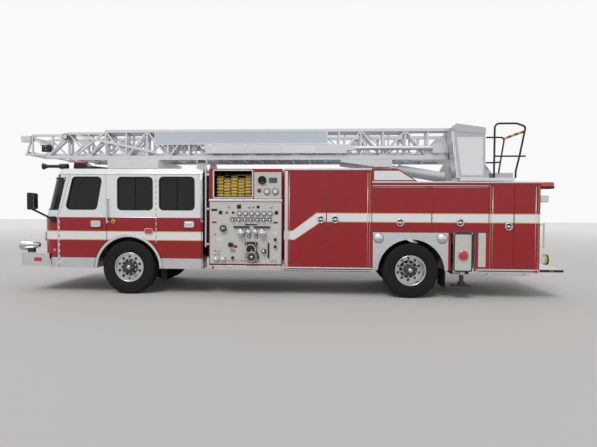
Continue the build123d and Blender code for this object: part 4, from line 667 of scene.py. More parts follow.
class Tree:
    """A Geometry Nodes tree with named inputs."""

    def __init__(self, name, inputs):
        self.group = bpy.data.node_groups.new(name, "GeometryNodeTree")
        face = self.group.interface
        face.new_socket("Geometry", in_out="INPUT", socket_type="NodeSocketGeometry")
        for label, kind, value in inputs:
            socket = face.new_socket(label, in_out="INPUT", socket_type="NodeSocket" + kind)
            if value is not None:
                socket.default_value = value
        face.new_socket("Geometry", in_out="OUTPUT", socket_type="NodeSocketGeometry")
        self.given = self.node("NodeGroupInput").outputs

    def node(self, kind, links=(), **settings):
        """A node with its settings, and links as (output, name of its input)."""
        made = self.group.nodes.new(kind)
        for key, value in settings.items():
            setattr(made, key, value)
        for output, label in links:
            self.group.links.new(output, made.inputs[label])
        return made

    def attribute(self, name):
        """A direction that the points carry."""
        made = self.node("GeometryNodeInputNamedAttribute", data_type="FLOAT_VECTOR")
        made.inputs["Name"].default_value = name
        return made.outputs[0]

    def aligned(self, direction, axis):
        """Turn that brings an axis to a direction."""
        return self.node("FunctionNodeAlignRotationToVector", [(direction, "Vector")], axis=axis).outputs[0]

    def copies(self, points, instance, rotation):
        """A copy on each point."""
        return self.node("GeometryNodeInstanceOnPoints", [(points, "Points"), (instance, "Instance"),
                                                          (rotation, "Rotation")]).outputs[0]

    def end(self, instances):
        """Turns the instances into one mesh with the given material."""
        real = self.node("GeometryNodeRealizeInstances", [(instances, "Geometry")])
        dress = self.node("GeometryNodeSetMaterial", [(real.outputs[0], "Geometry"),
                                                      (self.given["Material"], "Material")])
        self.node("NodeGroupOutput", [(dress.outputs[0], "Geometry")])
        return self.group


def stud_tree():
    """Short bevelled studs that stand on points along their own direction."""
    tree = Tree("studs_on_points", [("Radius", "Float", 0.01), ("Depth", "Float", 0.01), ("Sides", "Int", 6),
                                    ("Taper", "Float", 0.8), ("Material", "Material", None)])
    given = tree.given
    top = tree.node("ShaderNodeMath", [(given["Radius"], 0), (given["Taper"], 1)], operation="MULTIPLY")
    cone = tree.node("GeometryNodeMeshCone",
                     [(given["Sides"], "Vertices"), (given["Depth"], "Depth"),
                      (given["Radius"], "Radius Bottom"), (top.outputs[0], "Radius Top")], fill_type="NGON")
    turn = tree.aligned(tree.attribute("way"), "Z")
    return tree.end(tree.copies(given["Geometry"], cone.outputs[0], turn))


def tread_tree():
    """Rows of tread blocks round a tyre, each row leant and shifted by the direction of its point."""
    tree = Tree("tread_blocks", [("Radius", "Float", 0.53), ("Count", "Int", 60), ("Block", "Vector", None),
                                 ("Material", "Material", None)])
    circle = tree.node("GeometryNodeMeshCircle", [(tree.given["Count"], "Vertices"),
                                                  (tree.given["Radius"], "Radius")])
    block = tree.node("GeometryNodeMeshCube", [(tree.given["Block"], "Size")])
    spot = tree.node("GeometryNodeInputPosition")
    row = tree.copies(circle.outputs[0], block.outputs[0], tree.aligned(spot.outputs[0], "X"))
    return tree.end(tree.copies(tree.given["Geometry"], row, tree.attribute("way")))


TREES = {"studs": stud_tree(), "tread": tread_tree()}


def grown_mesh(tree, spots, inputs, finish):
    """Mesh that a tree makes on a list of (point, direction)."""
    points = bpy.data.meshes.new("points")
    points.from_pydata([tuple(spot) for spot, _ in spots], [], [])
    way = points.attributes.new("way", "FLOAT_VECTOR", "POINT")
    for item, (_, direction) in zip(way.data, spots):
        item.vector = direction
    carrier = bpy.data.objects.new("carrier", points)
    bpy.context.scene.collection.objects.link(carrier)
    grow = carrier.modifiers.new("grow", "NODES")
    grow.node_group = TREES[tree]
    names = {item.name: item.identifier for item in TREES[tree].interface.items_tree
             if item.in_out == "INPUT"}
    for label, value in inputs.items():
        grow[names[label]] = value
    grow[names["Material"]] = MATERIALS[finish]
    seen = carrier.evaluated_get(bpy.context.evaluated_depsgraph_get())
    made = bpy.data.meshes.new_from_object(seen)
    bpy.data.objects.remove(carrier)
    return made


def studs(name, body, slot, spots, radius, depth, finish, sides=6, taper=0.85):
    """Bolts, nuts or rivets: spots are (x, y, z) and the way each one points."""
    ready = [(place(*spot), Vector(way)) for spot, way in spots]
    mesh = grown_mesh("studs", ready, {"Radius": radius * MM, "Depth": depth * MM, "Sides": sides,
                                       "Taper": taper}, finish)
    return carry(name, body, mesh)


def side_studs(name, body, slot, side, places, *shape):
    """Studs that point outward on one side: places are (x, z, distance from the centre line)."""
    sign = SIDES[side]
    spots = [((x, sign * reach, z), (0, sign, 0)) for x, z, reach in places]
    return studs(f"{name}_{side}", body, slot, spots, *shape)


# wheels: station, width of a tyre, middles of its tyres, face of the disc, end of the hub, circle of the nuts
RIM_R = 286
BEAD_SHARE = 0.36
FRONT_WHEEL = {"x": 0, "width": 310, "middles": (1070,), "disc": 1165, "hub": 1220, "nuts": 142, "ribs": 5}
REAR_WHEEL = {"x": WHEELBASE, "width": 290, "middles": (1080, 740), "disc": 922, "hub": 1175, "nuts": 150,
              "ribs": 0}
# sidewall: share of the way round it, and how far it stands proud
SIDEWALL = ((0.12, 0), (0.17, 3), (0.20, 3), (0.24, 0), (0.42, 0), (0.55, 0), (0.68, 0), (0.72, -2.5),
            (0.76, -2.5), (0.80, 0))


class WheelSettings(bpy.types.PropertyGroup):
    """Tyres and wheel nuts."""

    groove: bpy.props.FloatProperty(name="Tread depth", description="Depth of the tread in millimetres",
                                    default=14.0, min=4, max=22)
    blocks: bpy.props.IntProperty(name="Blocks", description="Tread blocks round a rear tyre", default=52)
    nuts: bpy.props.IntProperty(name="Nuts", description="Nuts that hold a wheel", default=10)


def sidewall(half, bead):
    """Sidewall from bead to shoulder, with a rim guard, a raised band and a shoulder rib."""
    foot, height = RIM_R + 16, TYRE_R - 30 - RIM_R - 16
    line = [(bead, RIM_R), (bead, 300), (bead + 9, 306), (bead + 12, 312)]
    for share, proud in SIDEWALL:
        angle = math.pi * share
        across = bead + 4 + (half - bead - 6) * math.sin(min(angle * 0.95, math.pi / 2))
        line.append((across + proud, foot + height * (1 - math.cos(angle * 0.9)) / 2))
    return line + [(half - 9, TYRE_R - 42), (half - 14, TYRE_R - 26), (half - 22, TYRE_R - 8)]


def tyre_outline(width, groove, ribs):
    """Closed outline of a tyre, bead to bead, with its ribs, or bare where blocks are set on it."""
    side = sidewall(width / 2, width * BEAD_SHARE)
    edge, floor = width / 2 - 34, TYRE_R - groove
    tread = []
    for k in range(ribs):
        a, b = (-edge + 2 * edge / ribs * end for end in (k, k + 1))
        last = k == ribs - 1
        tread += [(a + (6 if k else 0), TYRE_R - 1), (b - (0 if last else 6), TYRE_R - 1)]
        if not last:
            tread += [(b - 4, floor), (b + 4, floor)]
    if not ribs:
        tread = [(-edge, TYRE_R - 4), (-edge + 4, floor), (edge - 4, floor), (edge, TYRE_R - 4)]
    return [(-y, r) for y, r in side] + tread + side[::-1]


class FIRE_OT_wheels(bpy.types.Operator):
    """Tyres with their tread, wheel nuts, hubs, rim edges and valves."""

    bl_idname = "fire.wheels"
    bl_label = "Wheels"

    def execute(self, context):
        settings = context.scene.fire_wheels
        for side, sign in SIDES.items():
            self.tyres("front_wheel_" + side, "front_tyre_" + side, FRONT_WHEEL, sign, settings)
            self.hub("front_wheel_" + side, FRONT_WHEEL, sign, settings.nuts)
            self.tyres("rear_wheels_" + side, "rear_tyres_" + side, REAR_WHEEL, sign, settings)
            self.hub("rear_wheels_" + side, REAR_WHEEL, sign, settings.nuts)
        return {"FINISHED"}

    def tyres(self, body, node, wheel, sign, settings):
        """Tyres of one body, with blocks on those that have no ribs."""
        x, width = wheel["x"], wheel["width"]
        piece = Piece(body + "_tyres", body, "tyre", sign)
        outline = tyre_outline(width, settings.groove, wheel["ribs"])
        for middle in wheel["middles"]:
            piece.turned(outline, (x, sign * middle, TYRE_R), (0, 1, 0), "rubber", 72, True)
            for start in (width * BEAD_SHARE + 32, width * BEAD_SHARE + 31):
                piece.knob([(start, 344), (start + 3, 347), (start, 350)], x, TYRE_R, "rubber", 48,
                           middle, True)
        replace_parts(piece.done(), node)
        if wheel["ribs"]:
            return
        spots = [(place(x, sign * (middle + (k - 2) * 45), TYRE_R), (math.pi / 2, (k % 2) * 0.06, 0))
                 for middle in wheel["middles"] for k in range(5)]
        depth = settings.groove * MM
        sizes = {"Radius": (TYRE_R - 2) * MM - depth / 2, "Count": settings.blocks,
                 "Block": (depth, 0.050, 0.037)}
        carry(body + "_tread", body, grown_mesh("tread", spots, sizes, "rubber"))

    def hub(self, body, wheel, sign, count):
        """Hub, rim edge, valve and nuts of one body."""
        x, disc, face, nuts = wheel["x"], wheel["disc"], wheel["hub"], wheel["nuts"]
        lip = wheel["middles"][0] + wheel["width"] * BEAD_SHARE + 12
        piece = Piece(body + "_hub", body, "chrome", sign)
        for profile, finish, steps, depth, loop in (
                ([(0, 96), (4, 92), (5, 50), (9, 46), (12, 30), (12, 0)], "iron", 32, face, False),
                ([(9, 40), (13, 38), (15, 20), (15, 0)], "chrome", 32, face, False),
                ([(-34, 100), (-32, 108), (-8, 108), (-2, 99)], "iron", 32, face, True),
                ([(0, nuts - 29), (5, nuts - 27), (5, nuts + 27), (0, nuts + 29)], "iron", 48, disc, True),
                ([(0, 276), (5, 280), (5, 296), (0, 299.5), (-5, 299.5), (-5, 276)], "chrome", 64, lip,
                 True)):
            piece.knob(profile, x, TYRE_R, finish, steps, depth, loop)
        piece.bar((x - 60, TYRE_R + 232, disc + 4), (x - 62, TYRE_R + 240, disc + 30), 5, "brass", 8)
        piece.done()
        for part, out, radius, length, sides, taper in (("_nuts", 5, 19, 28, 6, 0.9),
                                                        ("_studs", 33, 11, 10, 12, 0.7)):
            ring = [((x + nuts * c, sign * (disc + out), TYRE_R + nuts * s), (0, sign, 0))
                    for c, s in spokes(count, 0.5)]
            studs(body + part, body, "chrome", ring, radius, length, "chrome", sides, taper)


# height and station of points down the middle of the cab's front
NOSE_LINE = [(521, -1847), (1540, -1847), (1659, -1807), (2384, -1624), (2516, -1509)]
NOSE_CORNER = 360


def front_edge(z):
    """Station of the cab's front at a height."""
    for (z0, x0), (z1, x1) in zip(NOSE_LINE, NOSE_LINE[1:]):
        if z <= z1:
            return x0 + (x1 - x0) * max(z - z0, 0) / (z1 - z0)
    return NOSE_LINE[-1][1]


def round_the_nose(z, sign, start_x, end_y, proud):
    """Places along the cab's side, round its corner and across its front at a height."""
    front = front_edge(z)
    reach = NOSE_CORNER + proud
    line = [(start_x, sign * (CAB_SIDE + proud), z)]
    for k in range(9):
        angle = math.pi / 16 * k
        line.append((front + NOSE_CORNER - reach * math.sin(angle),
                     sign * (CAB_SIDE - NOSE_CORNER + reach * math.cos(angle)), z))
    return line + [(front - proud, sign * end_y, z)]


# side windows: corners of the pane, and the bar across it
CAB_WINDOWS = {
    "front_door": ([(-1132, 2341), (-541, 2341), (-661, 1702), (-1289, 1702)], ()),
    "middle": ([(-213, 2338), (490, 2338), (490, 1696), (-213, 1696)], (130, 146, 1698, 2336, 3)),
    "crew_door": ([(642, 2341), (1337, 2341), (1337, 1698), (642, 1698)], (985, 995, 1700, 2339, 2)),
}
SCREEN_LOW, SCREEN_TOP = 1690, 2330
SCREEN_ENDS = -1450, -1290
# wiper: its root and tip and the ends of its blade, as (gap to the front, y, z)
WIPER = ((8, 520, SCREEN_LOW - 45), (26, 300, SCREEN_LOW + 330),
         (12, 180, SCREEN_LOW + 60), (12, 420, SCREEN_LOW + 560))


class FIRE_OT_windows(bpy.types.Operator):
    """Rubber seals round the panes, the bars of the side windows and the wipers."""

    bl_idname = "fire.windows"
    bl_label = "Windows"

    def execute(self, context):
        for side, sign in SIDES.items():
            for name, (corners, bar) in CAB_WINDOWS.items():
                body = "chassis" if name == "middle" else f"{name}_{side}"
                seal = Piece(f"{name}_seal_{side}", body, "black_plastic", sign, CAB_SIDE)
                seal.rim(grown(corners, -5), 70, 19, 3.5, -14, "gasket")
                seal.rim(grown(corners, 15), 90, 3, 2, -4, "chrome")
                if bar:
                    seal.plate(*bar[:4], 3.5, -14, "gasket", bar[4])
                seal.done()
            self.screen(side, sign)
        return {"FINISHED"}

    def screen(self, side, sign):
        """Seal, bright strip and wiper of one pane of the windscreen."""
        seal = Piece("screen_seal_" + side, "chassis", "black_plastic")
        low, high = (round_the_nose(z, sign, start, 40, 1)
                     for z, start in zip((SCREEN_LOW, SCREEN_TOP), SCREEN_ENDS))
        seal.tube(low + high[::-1], 8, "gasket", 8, closed=True)
        seal.tube([(x - 0.5, y, z - 9) for x, y, z in low], 3, "chrome", 6)
        root, tip, blade_low, blade_top = ((front_edge(z) - gap, sign * y, z) for gap, y, z in WIPER)
        boss = (root[0] + 10, *root[1:])
        seal.rod(root, tip, 7, "plastic")
        seal.turned([(0, 24), (18, 22), (26, 12), (27, 0)], boss, (-1, 0, 0), "plastic", 16)
        seal.rod(blade_low, blade_top, 6, "gasket")
        seal.done()


# cab doors: handle (x, z), hinge (x, low, high, knuckles), inner trim (x low, x high), seams of the skirt
DOORS = {
    "front_door": {"handle": (-657, 1411), "hinge": (-1428, 545, 1596, 9), "trim": (-1180, -720),
                   "seams": ()},
    "crew_door": {"handle": (1247, 1411), "hinge": (568, 1004, 2356, 12), "trim": (700, 1440),
                  "seams": (700, 1440)},
}
# rain rail, hinge strip, seams, waist strip, lamp, flap, mirror glass and side lamp
CAB_PLATES = [
    (-1360, 1508, 2402, 2414, -3, 9, "steel", 3),
    (-1462, -1442, 540, 1630, -2, 3, "grey", 2),
    *((x - 3, x + 3, 725, 1538, -2, 1.5, "gasket", 1) for x in (-440, 560, 1490)),
    (-440, 560, 1533, 1543, -2, 3, "chrome", 2),
    (343, 495, 1214, 1316, 0, 12, "red_lens", 8),
    (671, 685.2, 248.5, 520, -326, -24, "gasket", 2),
    (-1803, -1798.5, 1800, 1992, 118, 262, "chrome", 4),
    (-1803, -1798.5, 1716, 1786, 118, 262, "chrome", 4),
    (1398.5, 1601.5, 2598.5, 2701.5, 36.5, -56.5, "white_plastic", 14),
    (1420, 1580, 2614, 2686, 34, 39.5, "lens_dark", 5),
]
# filler cap with its lock, turn lamp, ends of the rails
CAB_KNOBS = [
    ([(0, 44), (10, 44), (16, 38), (18, 0)], -307, 1456, "yellow", 24),
    ([(14, 14), (34, 12), (36, 0)], -307, 1456, "plastic", 16),
    ([(0, 30), (10, 30), (15, 24), (16, 0)], -1529, 871, "amber_lens", 20, -12),
    *(([(0, 24), (5, 22)], 1497, z, "chrome", 16) for z in (1470, 1918, 2365)),
    *(([(0, 26), (6, 24)], -422, z, "chrome", 16) for z in (1450, 1911)),
]
NOSE_X = -1847
SIREN = (-2355, -1010, 960)


class FIRE_OT_cab(bpy.types.Operator):
    """Handles, hinges, rails, trims and small lamps of the cab."""

    bl_idname = "fire.cab"
    bl_label = "Cab fittings"

    def execute(self, context):
        for side, sign in SIDES.items():
            for name, door in DOORS.items():
                self.door(name, side, sign, door)
            self.wall(side, sign)
        self.front()
        self.siren()
        self.roof()
        return {"FINISHED"}

    def door(self, name, side, sign, door):
        """Paddle handle, lock, hinge, seams and inner trim of one door."""
        x, z = door["handle"]
        piece = Piece(f"{name}_fittings_{side}", f"{name}_{side}", "chrome", sign, CAB_SIDE)
        piece.rim(oblong(x - 84, x + 84, z - 50, z + 50), 16, 12, 39, 4, "white_plastic")
        piece.plate(x - 86, x + 86, z - 52, z + 52, 31, 35, "white_plastic")
        paddle = [(x - 66, z + 34), (x + 52, z + 34), (x + 52, z - 2), (x - 66, z - 30)]
        piece.panel(paddle, 36, 43, "chrome", 3)
        piece.knob([(0, 12), (6, 11), (7, 0)], x + 66, z - 30, "chrome", 16, 34)
        hinge_x, low, high, knuckles = door["hinge"]
        pitch = (high - low) / knuckles
        for k in range(knuckles):
            piece.turned([(0, 8.2), (pitch - 4, 8.2)], (hinge_x, piece.out(0), low + k * pitch + 2),
                         (0, 0, 1), "steel", 24)
        for seam in door["seams"]:
            piece.plate(seam - 3, seam + 3, 560, 700, 1.5, 0, "steel", 1)
        x0, x1 = door["trim"]
        piece.plate(x0, x1, 900, 1560, -53, -45, "plastic", 6)
        piece.plate(x0 + 60, x1 - 60, 1290, 1340, -75, -53, "plastic", 8)
        piece.done()

    def wall(self, side, sign):
        """Plates, knobs, lamp rim, arch edge and grab rail on one side."""
        piece = Piece("cab_trim_" + side, "chassis", "stainless", sign, CAB_SIDE)
        piece.plates(CAB_PLATES)
        piece.knobs(CAB_KNOBS)
        piece.rim(oblong(345, 493, 1216, 1314), 28, 12, 16, -2, "chrome")
        arch_edges(piece, 0, 11, 12, 3.5)
        piece.bar((1497, 1450, 45), (1497, 2385, 45), 15, "chrome")
        for z in (1470, 1918, 2365):
            piece.bar((1497, z, -2), (1497, z, 45), 10, "chrome")
        piece.done()
        rivets = [(-1340 + 60 * k, 2408, CAB_SIDE + 8) for k in range(48)]
        side_studs("cab_rivets", "chassis", "stainless", side, rivets, 4, 2.5, "steel", 8, 0.6)

    def front(self):
        """Grille bars, headlamps, turn lamps, markers and the bumper's edge and deck."""
        piece = Piece("nose_fittings", "chassis", "chrome")
        for k in range(15):
            z = 985 + k * 29
            piece.box((NOSE_X - 33, NOSE_X - 26), (-394, 394), (z, z + 12), "chrome", 3)
        for y, z in (((-446, 446), (948, 962)), ((-446, 446), (1420, 1434)),
                     ((-446, -432), (948, 1434)), ((432, 446), (948, 1434))):
            piece.box((NOSE_X - 36, NOSE_X - 20), y, z, "chrome", 4)
        for sign in SIDES.values():
            for middle in (635, 777):
                spot = NOSE_X, sign * middle, 1135
                piece.turned([(38, 60), (46, 62), (50, 66), (50, 70), (36, 71), (36, 60)], spot, (-1, 0, 0),
                             "chrome", 32, True)
                piece.turned([(38, 61), (46, 50), (50, 26), (51, 0)], spot, (-1, 0, 0), "clear_lens", 32)
            piece.box((NOSE_X - 22, NOSE_X), (sign * 880, sign * 1010), (1050, 1230), "amber_lens", 10)
            piece.box((NOSE_X - 16, NOSE_X + 20), (sign * 872, sign * 1018), (1042, 1238), "chrome", 8)
            piece.box((-1955, -1800), (sign * 1233, sign * 1240), (640, 720), "red_lens", 3)
        piece.box((-2303, -2298), (-1090, 1090), (620, 740), "gasket", 2)
        piece.box((-2290, -1860), (-1090, 1090), (808, 812), "tread", 1)
        piece.done()

    def siren(self):
        """Bright shell of the siren, with rings on its front."""
        piece = Piece("siren_shell", "chassis", "chrome")
        piece.turned([(0, 0), (2, 70), (-1.5, 104), (0, 109.5), (20, 116.5), (90, 116.5), (130, 96.5),
                      (260, 89.5), (395, 41.5), (397, 0)], SIREN, (1, 0, 0), "chrome", 40)
        for radius in (30, 52, 74, 94):
            piece.turned([(-5, radius - 3), (-7, radius), (-5, radius + 3), (1, radius + 3), (1, radius - 3)],
                         SIREN, (1, 0, 0), "chrome", 32, True)
        piece.done()

    def roof(self):
        """Fan covers, seams and slots of the cooling unit."""
        piece = Piece("roof_unit_trim", "chassis", "white_plastic")
        for x in (-340, 190):
            for radius in (60, 100, 140, 180):
                piece.turned([(0, radius - 4), (3, radius - 4), (3, radius + 4), (0, radius + 4)],
                             (x, 0, 2735), (0, 0, 1), "plastic", 40, True)
        for x in (-600, -80, 440):
            piece.box((x - 3, x + 3), (-760, 760), (2734, 2737), "gasket", 1)
        for sign in SIDES.values():
            for x in range(-560, 400, 80):
                piece.box((x, x + 50), (sign * 800, sign * 801.5), (2620, 2626), "grey")
        piece.done()


def cushion(name, x, y, z, crown):
    """Padded block whose faces swell in the middle and pull in at the corners."""
    grid = bmesh.new()
    bmesh.ops.create_cube(grid, size=2)
    bmesh.ops.subdivide_edges(grid, edges=grid.edges[:], cuts=5, use_grid_fill=True)
    low, high = (place(*corner) for corner in zip(x, y, z))
    half = Vector(map(abs, (high - low) / 2))
    for vert in grid.verts:
        u = vert.co.copy()
        for k in range(3):
            across, along = (u[j] for j in range(3) if j != k)
            pull = crown * MM * ((1 - across ** 4) * (1 - along ** 4) - 1)
            vert.co[k] = u[k] * (half[k] + (pull if abs(u[k]) > 0.99 else 0))
        vert.co += (low + high) / 2
    mesh = bpy.data.meshes.new(name)
    grid.to_mesh(mesh)
    grid.free()
    for face in mesh.polygons:
        face.use_smooth = True
    mesh.materials.append(MATERIALS["trim"])
    made = carry(name, "chassis", mesh)
    smooth = made.modifiers.new("smooth", "SUBSURF")
    smooth.levels = smooth.render_levels = 1


WHEEL_MIDDLE = Vector((-1130, -770, 1600))
WHEEL_TILT = -28
SEAT_Y = 770


class FIRE_OT_interior(bpy.types.Operator):
    """Dash, steering wheel, padded seats and bench inside the cab."""

    bl_idname = "fire.interior"
    bl_label = "Interior"

    def execute(self, context):
        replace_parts(self.furniture(), "cab_interior")
        for side, sign in SIDES.items():
            y = sign * SEAT_Y
            cushion("seat_pad_" + side, (-1010, -565), (y - 230, y + 230), (1212, 1335), 22)
            cushion("seat_back_" + side, (-620, -500), (y - 218, y + 218), (1345, 1820), 20)
            cushion("seat_head_" + side, (-590, -500), (y - 140, y + 140), (1830, 1985), 18)
        cushion("bench_pad", (1022, 1380), (-858, 858), (1462, 1525), 16)
        for k, y in enumerate((-645, -215, 215, 645)):
            cushion(f"bench_back_{k}", (1384, 1466), (y - 188, y + 188), (1524, 2048), 20)
        return {"FINISHED"}

    def furniture(self):
        """Hard parts of the interior in one piece."""
        room = Piece("cab_furniture", "chassis", "black_plastic")
        room.slab([(-1755, 1100), (-1430, 1100), (-1430, 1180), (-1340, 1420), (-1370, 1560), (-1750, 1590)],
                  (-1000, 1000), "plastic", 12)
        room.slab([(-1345, 1425), (-1338, 1425), (-1366, 1550), (-1374, 1550)], (-980, -560),
                  "panel_black", 2)
        for y in range(-930, -530, 100):
            room.turned([(0, 34), (6, 32), (7, 0)], (-1352, y, 1490), (1, 0, 0.2), "dial", 24)
        for y in range(-420, 140, 70):
            room.box((-1340, -1330), (y, y + 40), (1440, 1470), "panel_black", 3)
        tilt = Matrix.Rotation(math.radians(WHEEL_TILT), 3, "Y")
        ring = [tuple(WHEEL_MIDDLE + tilt @ Vector((220 * c, 220 * s, 0))) for c, s in spokes(36)]
        room.tube(ring, 16, "gasket", 10, closed=True)
        for k in (0, 12, 24):
            room.rod(tuple(WHEEL_MIDDLE), ring[k], 11, "plastic")
        room.rod(tuple(WHEEL_MIDDLE), (-1370, -770, 1380), 30, "plastic", 16)
        room.turned([(-8, 60), (8, 58), (14, 0)], tuple(WHEEL_MIDDLE), (0.47, 0, 0.88), "plastic", 20)
        for y in (-SEAT_Y, SEAT_Y):
            room.box((-960, -610), (y - 160, y + 160), (1100, 1205), "plastic", 10)
            room.box((-985, -585), (y - 205, y + 205), (1195, 1215), "plastic", 6)
        room.box((1190, 1467), (-860, 860), (1100, 1466), "plastic", 8)
        return room.done()


# light bar: its inner end, the turn of each half, its length and its lamps
BAR_X, BAR_Y, BAR_ANGLE, BAR_LENGTH, BAR_LAMPS = -1437, 48, 70.2, 1054, 4
# beacon, work light, tail lamps, rear panel, markers and the tailboard's edge
REAR_PLATES = [
    (8024, 8281, 2135, 2158, 958, 1202, "plastic", 6),
    (8026, 8281, 2160, 2261, 958, 1202, "red_lens", 24),
    (8040, 8187, 1878, 2002, 988, 1172, "white_plastic", 12),
    (8187, 8192, 1894, 1986, 1002, 1158, "clear_lens", 2),
    *(row for low, high, finish in ((1560, 1690, "red_lens"), (1420, 1545, "amber_lens"),
                                    (1280, 1405, "clear_lens"))
      for row in ((8010, 8034, low, high, 890, 1060, finish, 10),
                  (8009, 8022, low - 8, high + 8, 882, 1068, "chrome", 4))),
    (8009.5, 8012.5, 600, 2200, 800, 1236, "steel", 1),
    (7925, 7985, 608, 656, 1238, 1246, "red_lens", 3),
    (7925, 7985, 676, 724, 1238, 1246, "red_lens", 3),
    (8466, 8469.8, 548, 588, 700, 1100, "red_lens", 2),
    (8020, 8460, 546, 589, 1238, 1242.5, "panel_black", 1),
    (8200, 8280, 552, 584, 1240, 1246, "red_lens", 2),
]


class LampSettings(bpy.types.PropertyGroup):
    """Lamps on the roof and at the rear."""

    seams: bpy.props.IntProperty(name="Seams", description="Upright seams in each lamp of the light bar",
                                 default=3)


class FIRE_OT_lamps(bpy.types.Operator):
    """Lenses of the light bar, the rear beacons, the work lights and the tail lamps."""

    bl_idname = "fire.lamps"
    bl_label = "Lamps"

    def execute(self, context):
        for side, sign in SIDES.items():
            self.light_bar(side, sign, context.scene.fire_lamps.seams)
            self.rear(side, sign)
        return {"FINISHED"}

    def light_bar(self, side, sign, seams):
        """Lamps of one half of the light bar: a base, a lens and its seams."""
        piece = Piece("light_bar_" + side, "chassis", "lamp_plastic")
        y = sign * BAR_Y
        swing = (BAR_X, y, sign * BAR_ANGLE)
        width = BAR_LENGTH / BAR_LAMPS - 18
        for k in range(BAR_LAMPS):
            x = BAR_X + k * BAR_LENGTH / BAR_LAMPS + 9
            lens_finish = "red_lens" if k == BAR_LAMPS - 1 else "lens_dark"
            piece.box((x, x + width), (y - 121, y + 121), (2580, 2608), "plastic", 9, swing)
            piece.box((x + 3, x + width - 3), (y - 118, y + 118), (2610, 2677), lens_finish, 9, swing)
            for seam in range(1, seams + 1):
                spot = x + width * seam / (seams + 1)
                piece.box((spot - 2, spot + 2), (y - 119.5, y + 119.5), (2612, 2678), "plastic", 0, swing)
        piece.done()

    def rear(self, side, sign):
        """Lamps and plates at one rear corner, and the rings of the rear outlet."""
        piece = Piece("rear_lamps_" + side, "chassis", "lamp_plastic", sign)
        piece.plates(REAR_PLATES)
        for start, radius, finish in ((149, 98, "yellow"), (179, 102, "plastic")):
            piece.turned([(start, 92.5), (start, radius), (start + 26, radius), (start + 26, 92.5)],
                         (8010, sign * 1080, 770), (1, 0, 0), finish, 32, True)
        piece.done()


# pump panels: stations of the gauges and pulls, then oblongs as x low, x high, z low, z high
GAUGES = (2250, 2371, 2493, 2614, 2738, 2857)
PULLS = (2120, 2240, 2360, 2480, 2610, 2730, 2850)
PANEL_EDGE = (1660, 3080, 637, 1854)
SMALL_PANEL = (2545, 3075, 1925, 2440)
BIN_EDGE = (1745, 2500, 1950, 2470)
# outlets: x, z, radius, reach
OUTLETS = ((2289, 1248, 62, 95), (2708, 1248, 62, 95), (2430, 1262, 40, 50), (2570, 1262, 40, 50),
           (1790, 720, 40, 60), (1930, 720, 40, 60))
RIGHT_OUTLETS = ((2000, 1248, 62, 95), (2380, 1248, 62, 95), (2760, 1248, 62, 95))
# switches: x, z, half width, finish
SWITCHES = ((1874, 1649, 34, "panel_black"), (1998, 1649, 22, "label_red"), (2123, 1649, 22, "panel_black"),
            (2982, 1649, 34, "panel_black"), (2242, 1766, 40, "panel_black"), (2620, 1760, 26, "panel_black"))
# labels: x, z, half width, half height, finish
LABELS = ((1749, 1698, 60, 22, "panel_black"), (1749, 1454, 44, 20, "label_red"),
          (2964, 1454, 44, 20, "label_red"), (2172, 978, 40, 26, "label_red"),
          (2123, 892, 52, 34, "blue_grey"), (2480, 1410, 120, 14, "panel_black"),
          (1850, 1120, 60, 30, "white_plastic"), (2960, 1250, 40, 24, "white_plastic"))
KNOBS = ((2964, 1124), (2964, 983), (2123, 760))
DRAINS = ((1760, 900), (1830, 900), (1760, 830), (1830, 830), (2890, 700), (2964, 700), (1760, 1220),
          (2040, 1760), (2440, 1760), (2520, 1760), (2880, 1760))
HAND_WHEEL = (1935, 1336)
INLET = (2509, 785)
GATE = (2489, 935)
VALVE = (2738, 892)
SPEAKER = (2700, 2285)
PUMP_FRAMES = [
    (1742, 3077, 512, 600, -5, 1.5, "steel", 2),
    (1742, 3077, 600, 603, -142, 1, "tread", 1),
    (1700, 1742, 530, 586, -5, 2, "red_lens", 3),
    (1640, 3095, 1868, 1912, -10, -4, "steel", 3),
]


def gauge(piece, x, z, radius, depth=0):
    """Round gauge with its rim, dial, ticks and pointer."""
    piece.knob([(0, radius + 4), (16, radius + 4), (20, radius), (20, radius - 4), (15, radius - 5),
                (0, radius - 5)], x, z, "panel_black", 28, depth, True)
    piece.knob([(2, radius - 4), (15.5, radius - 4), (15.5, 0)], x, z, "dial", 28, depth)
    low, high = depth + 15, depth + 16.4
    for k in range(11):
        angle = math.radians(225 - 27 * k)
        c, s = math.cos(angle), math.sin(angle)
        tick = [(x + c * reach - s * half, z + s * reach + c * half)
                for reach, half in ((radius * 0.68, 1.1), (radius * 0.84, 1.1),
                                    (radius * 0.84, -1.1), (radius * 0.68, -1.1))]
        piece.panel(tick, low, high, "panel_black")
    pointer = [(x - 3, z - 4), (x + 3, z - 4), (x - radius * 0.34, z + radius * 0.5)]
    piece.panel(pointer, low, high, "label_red")


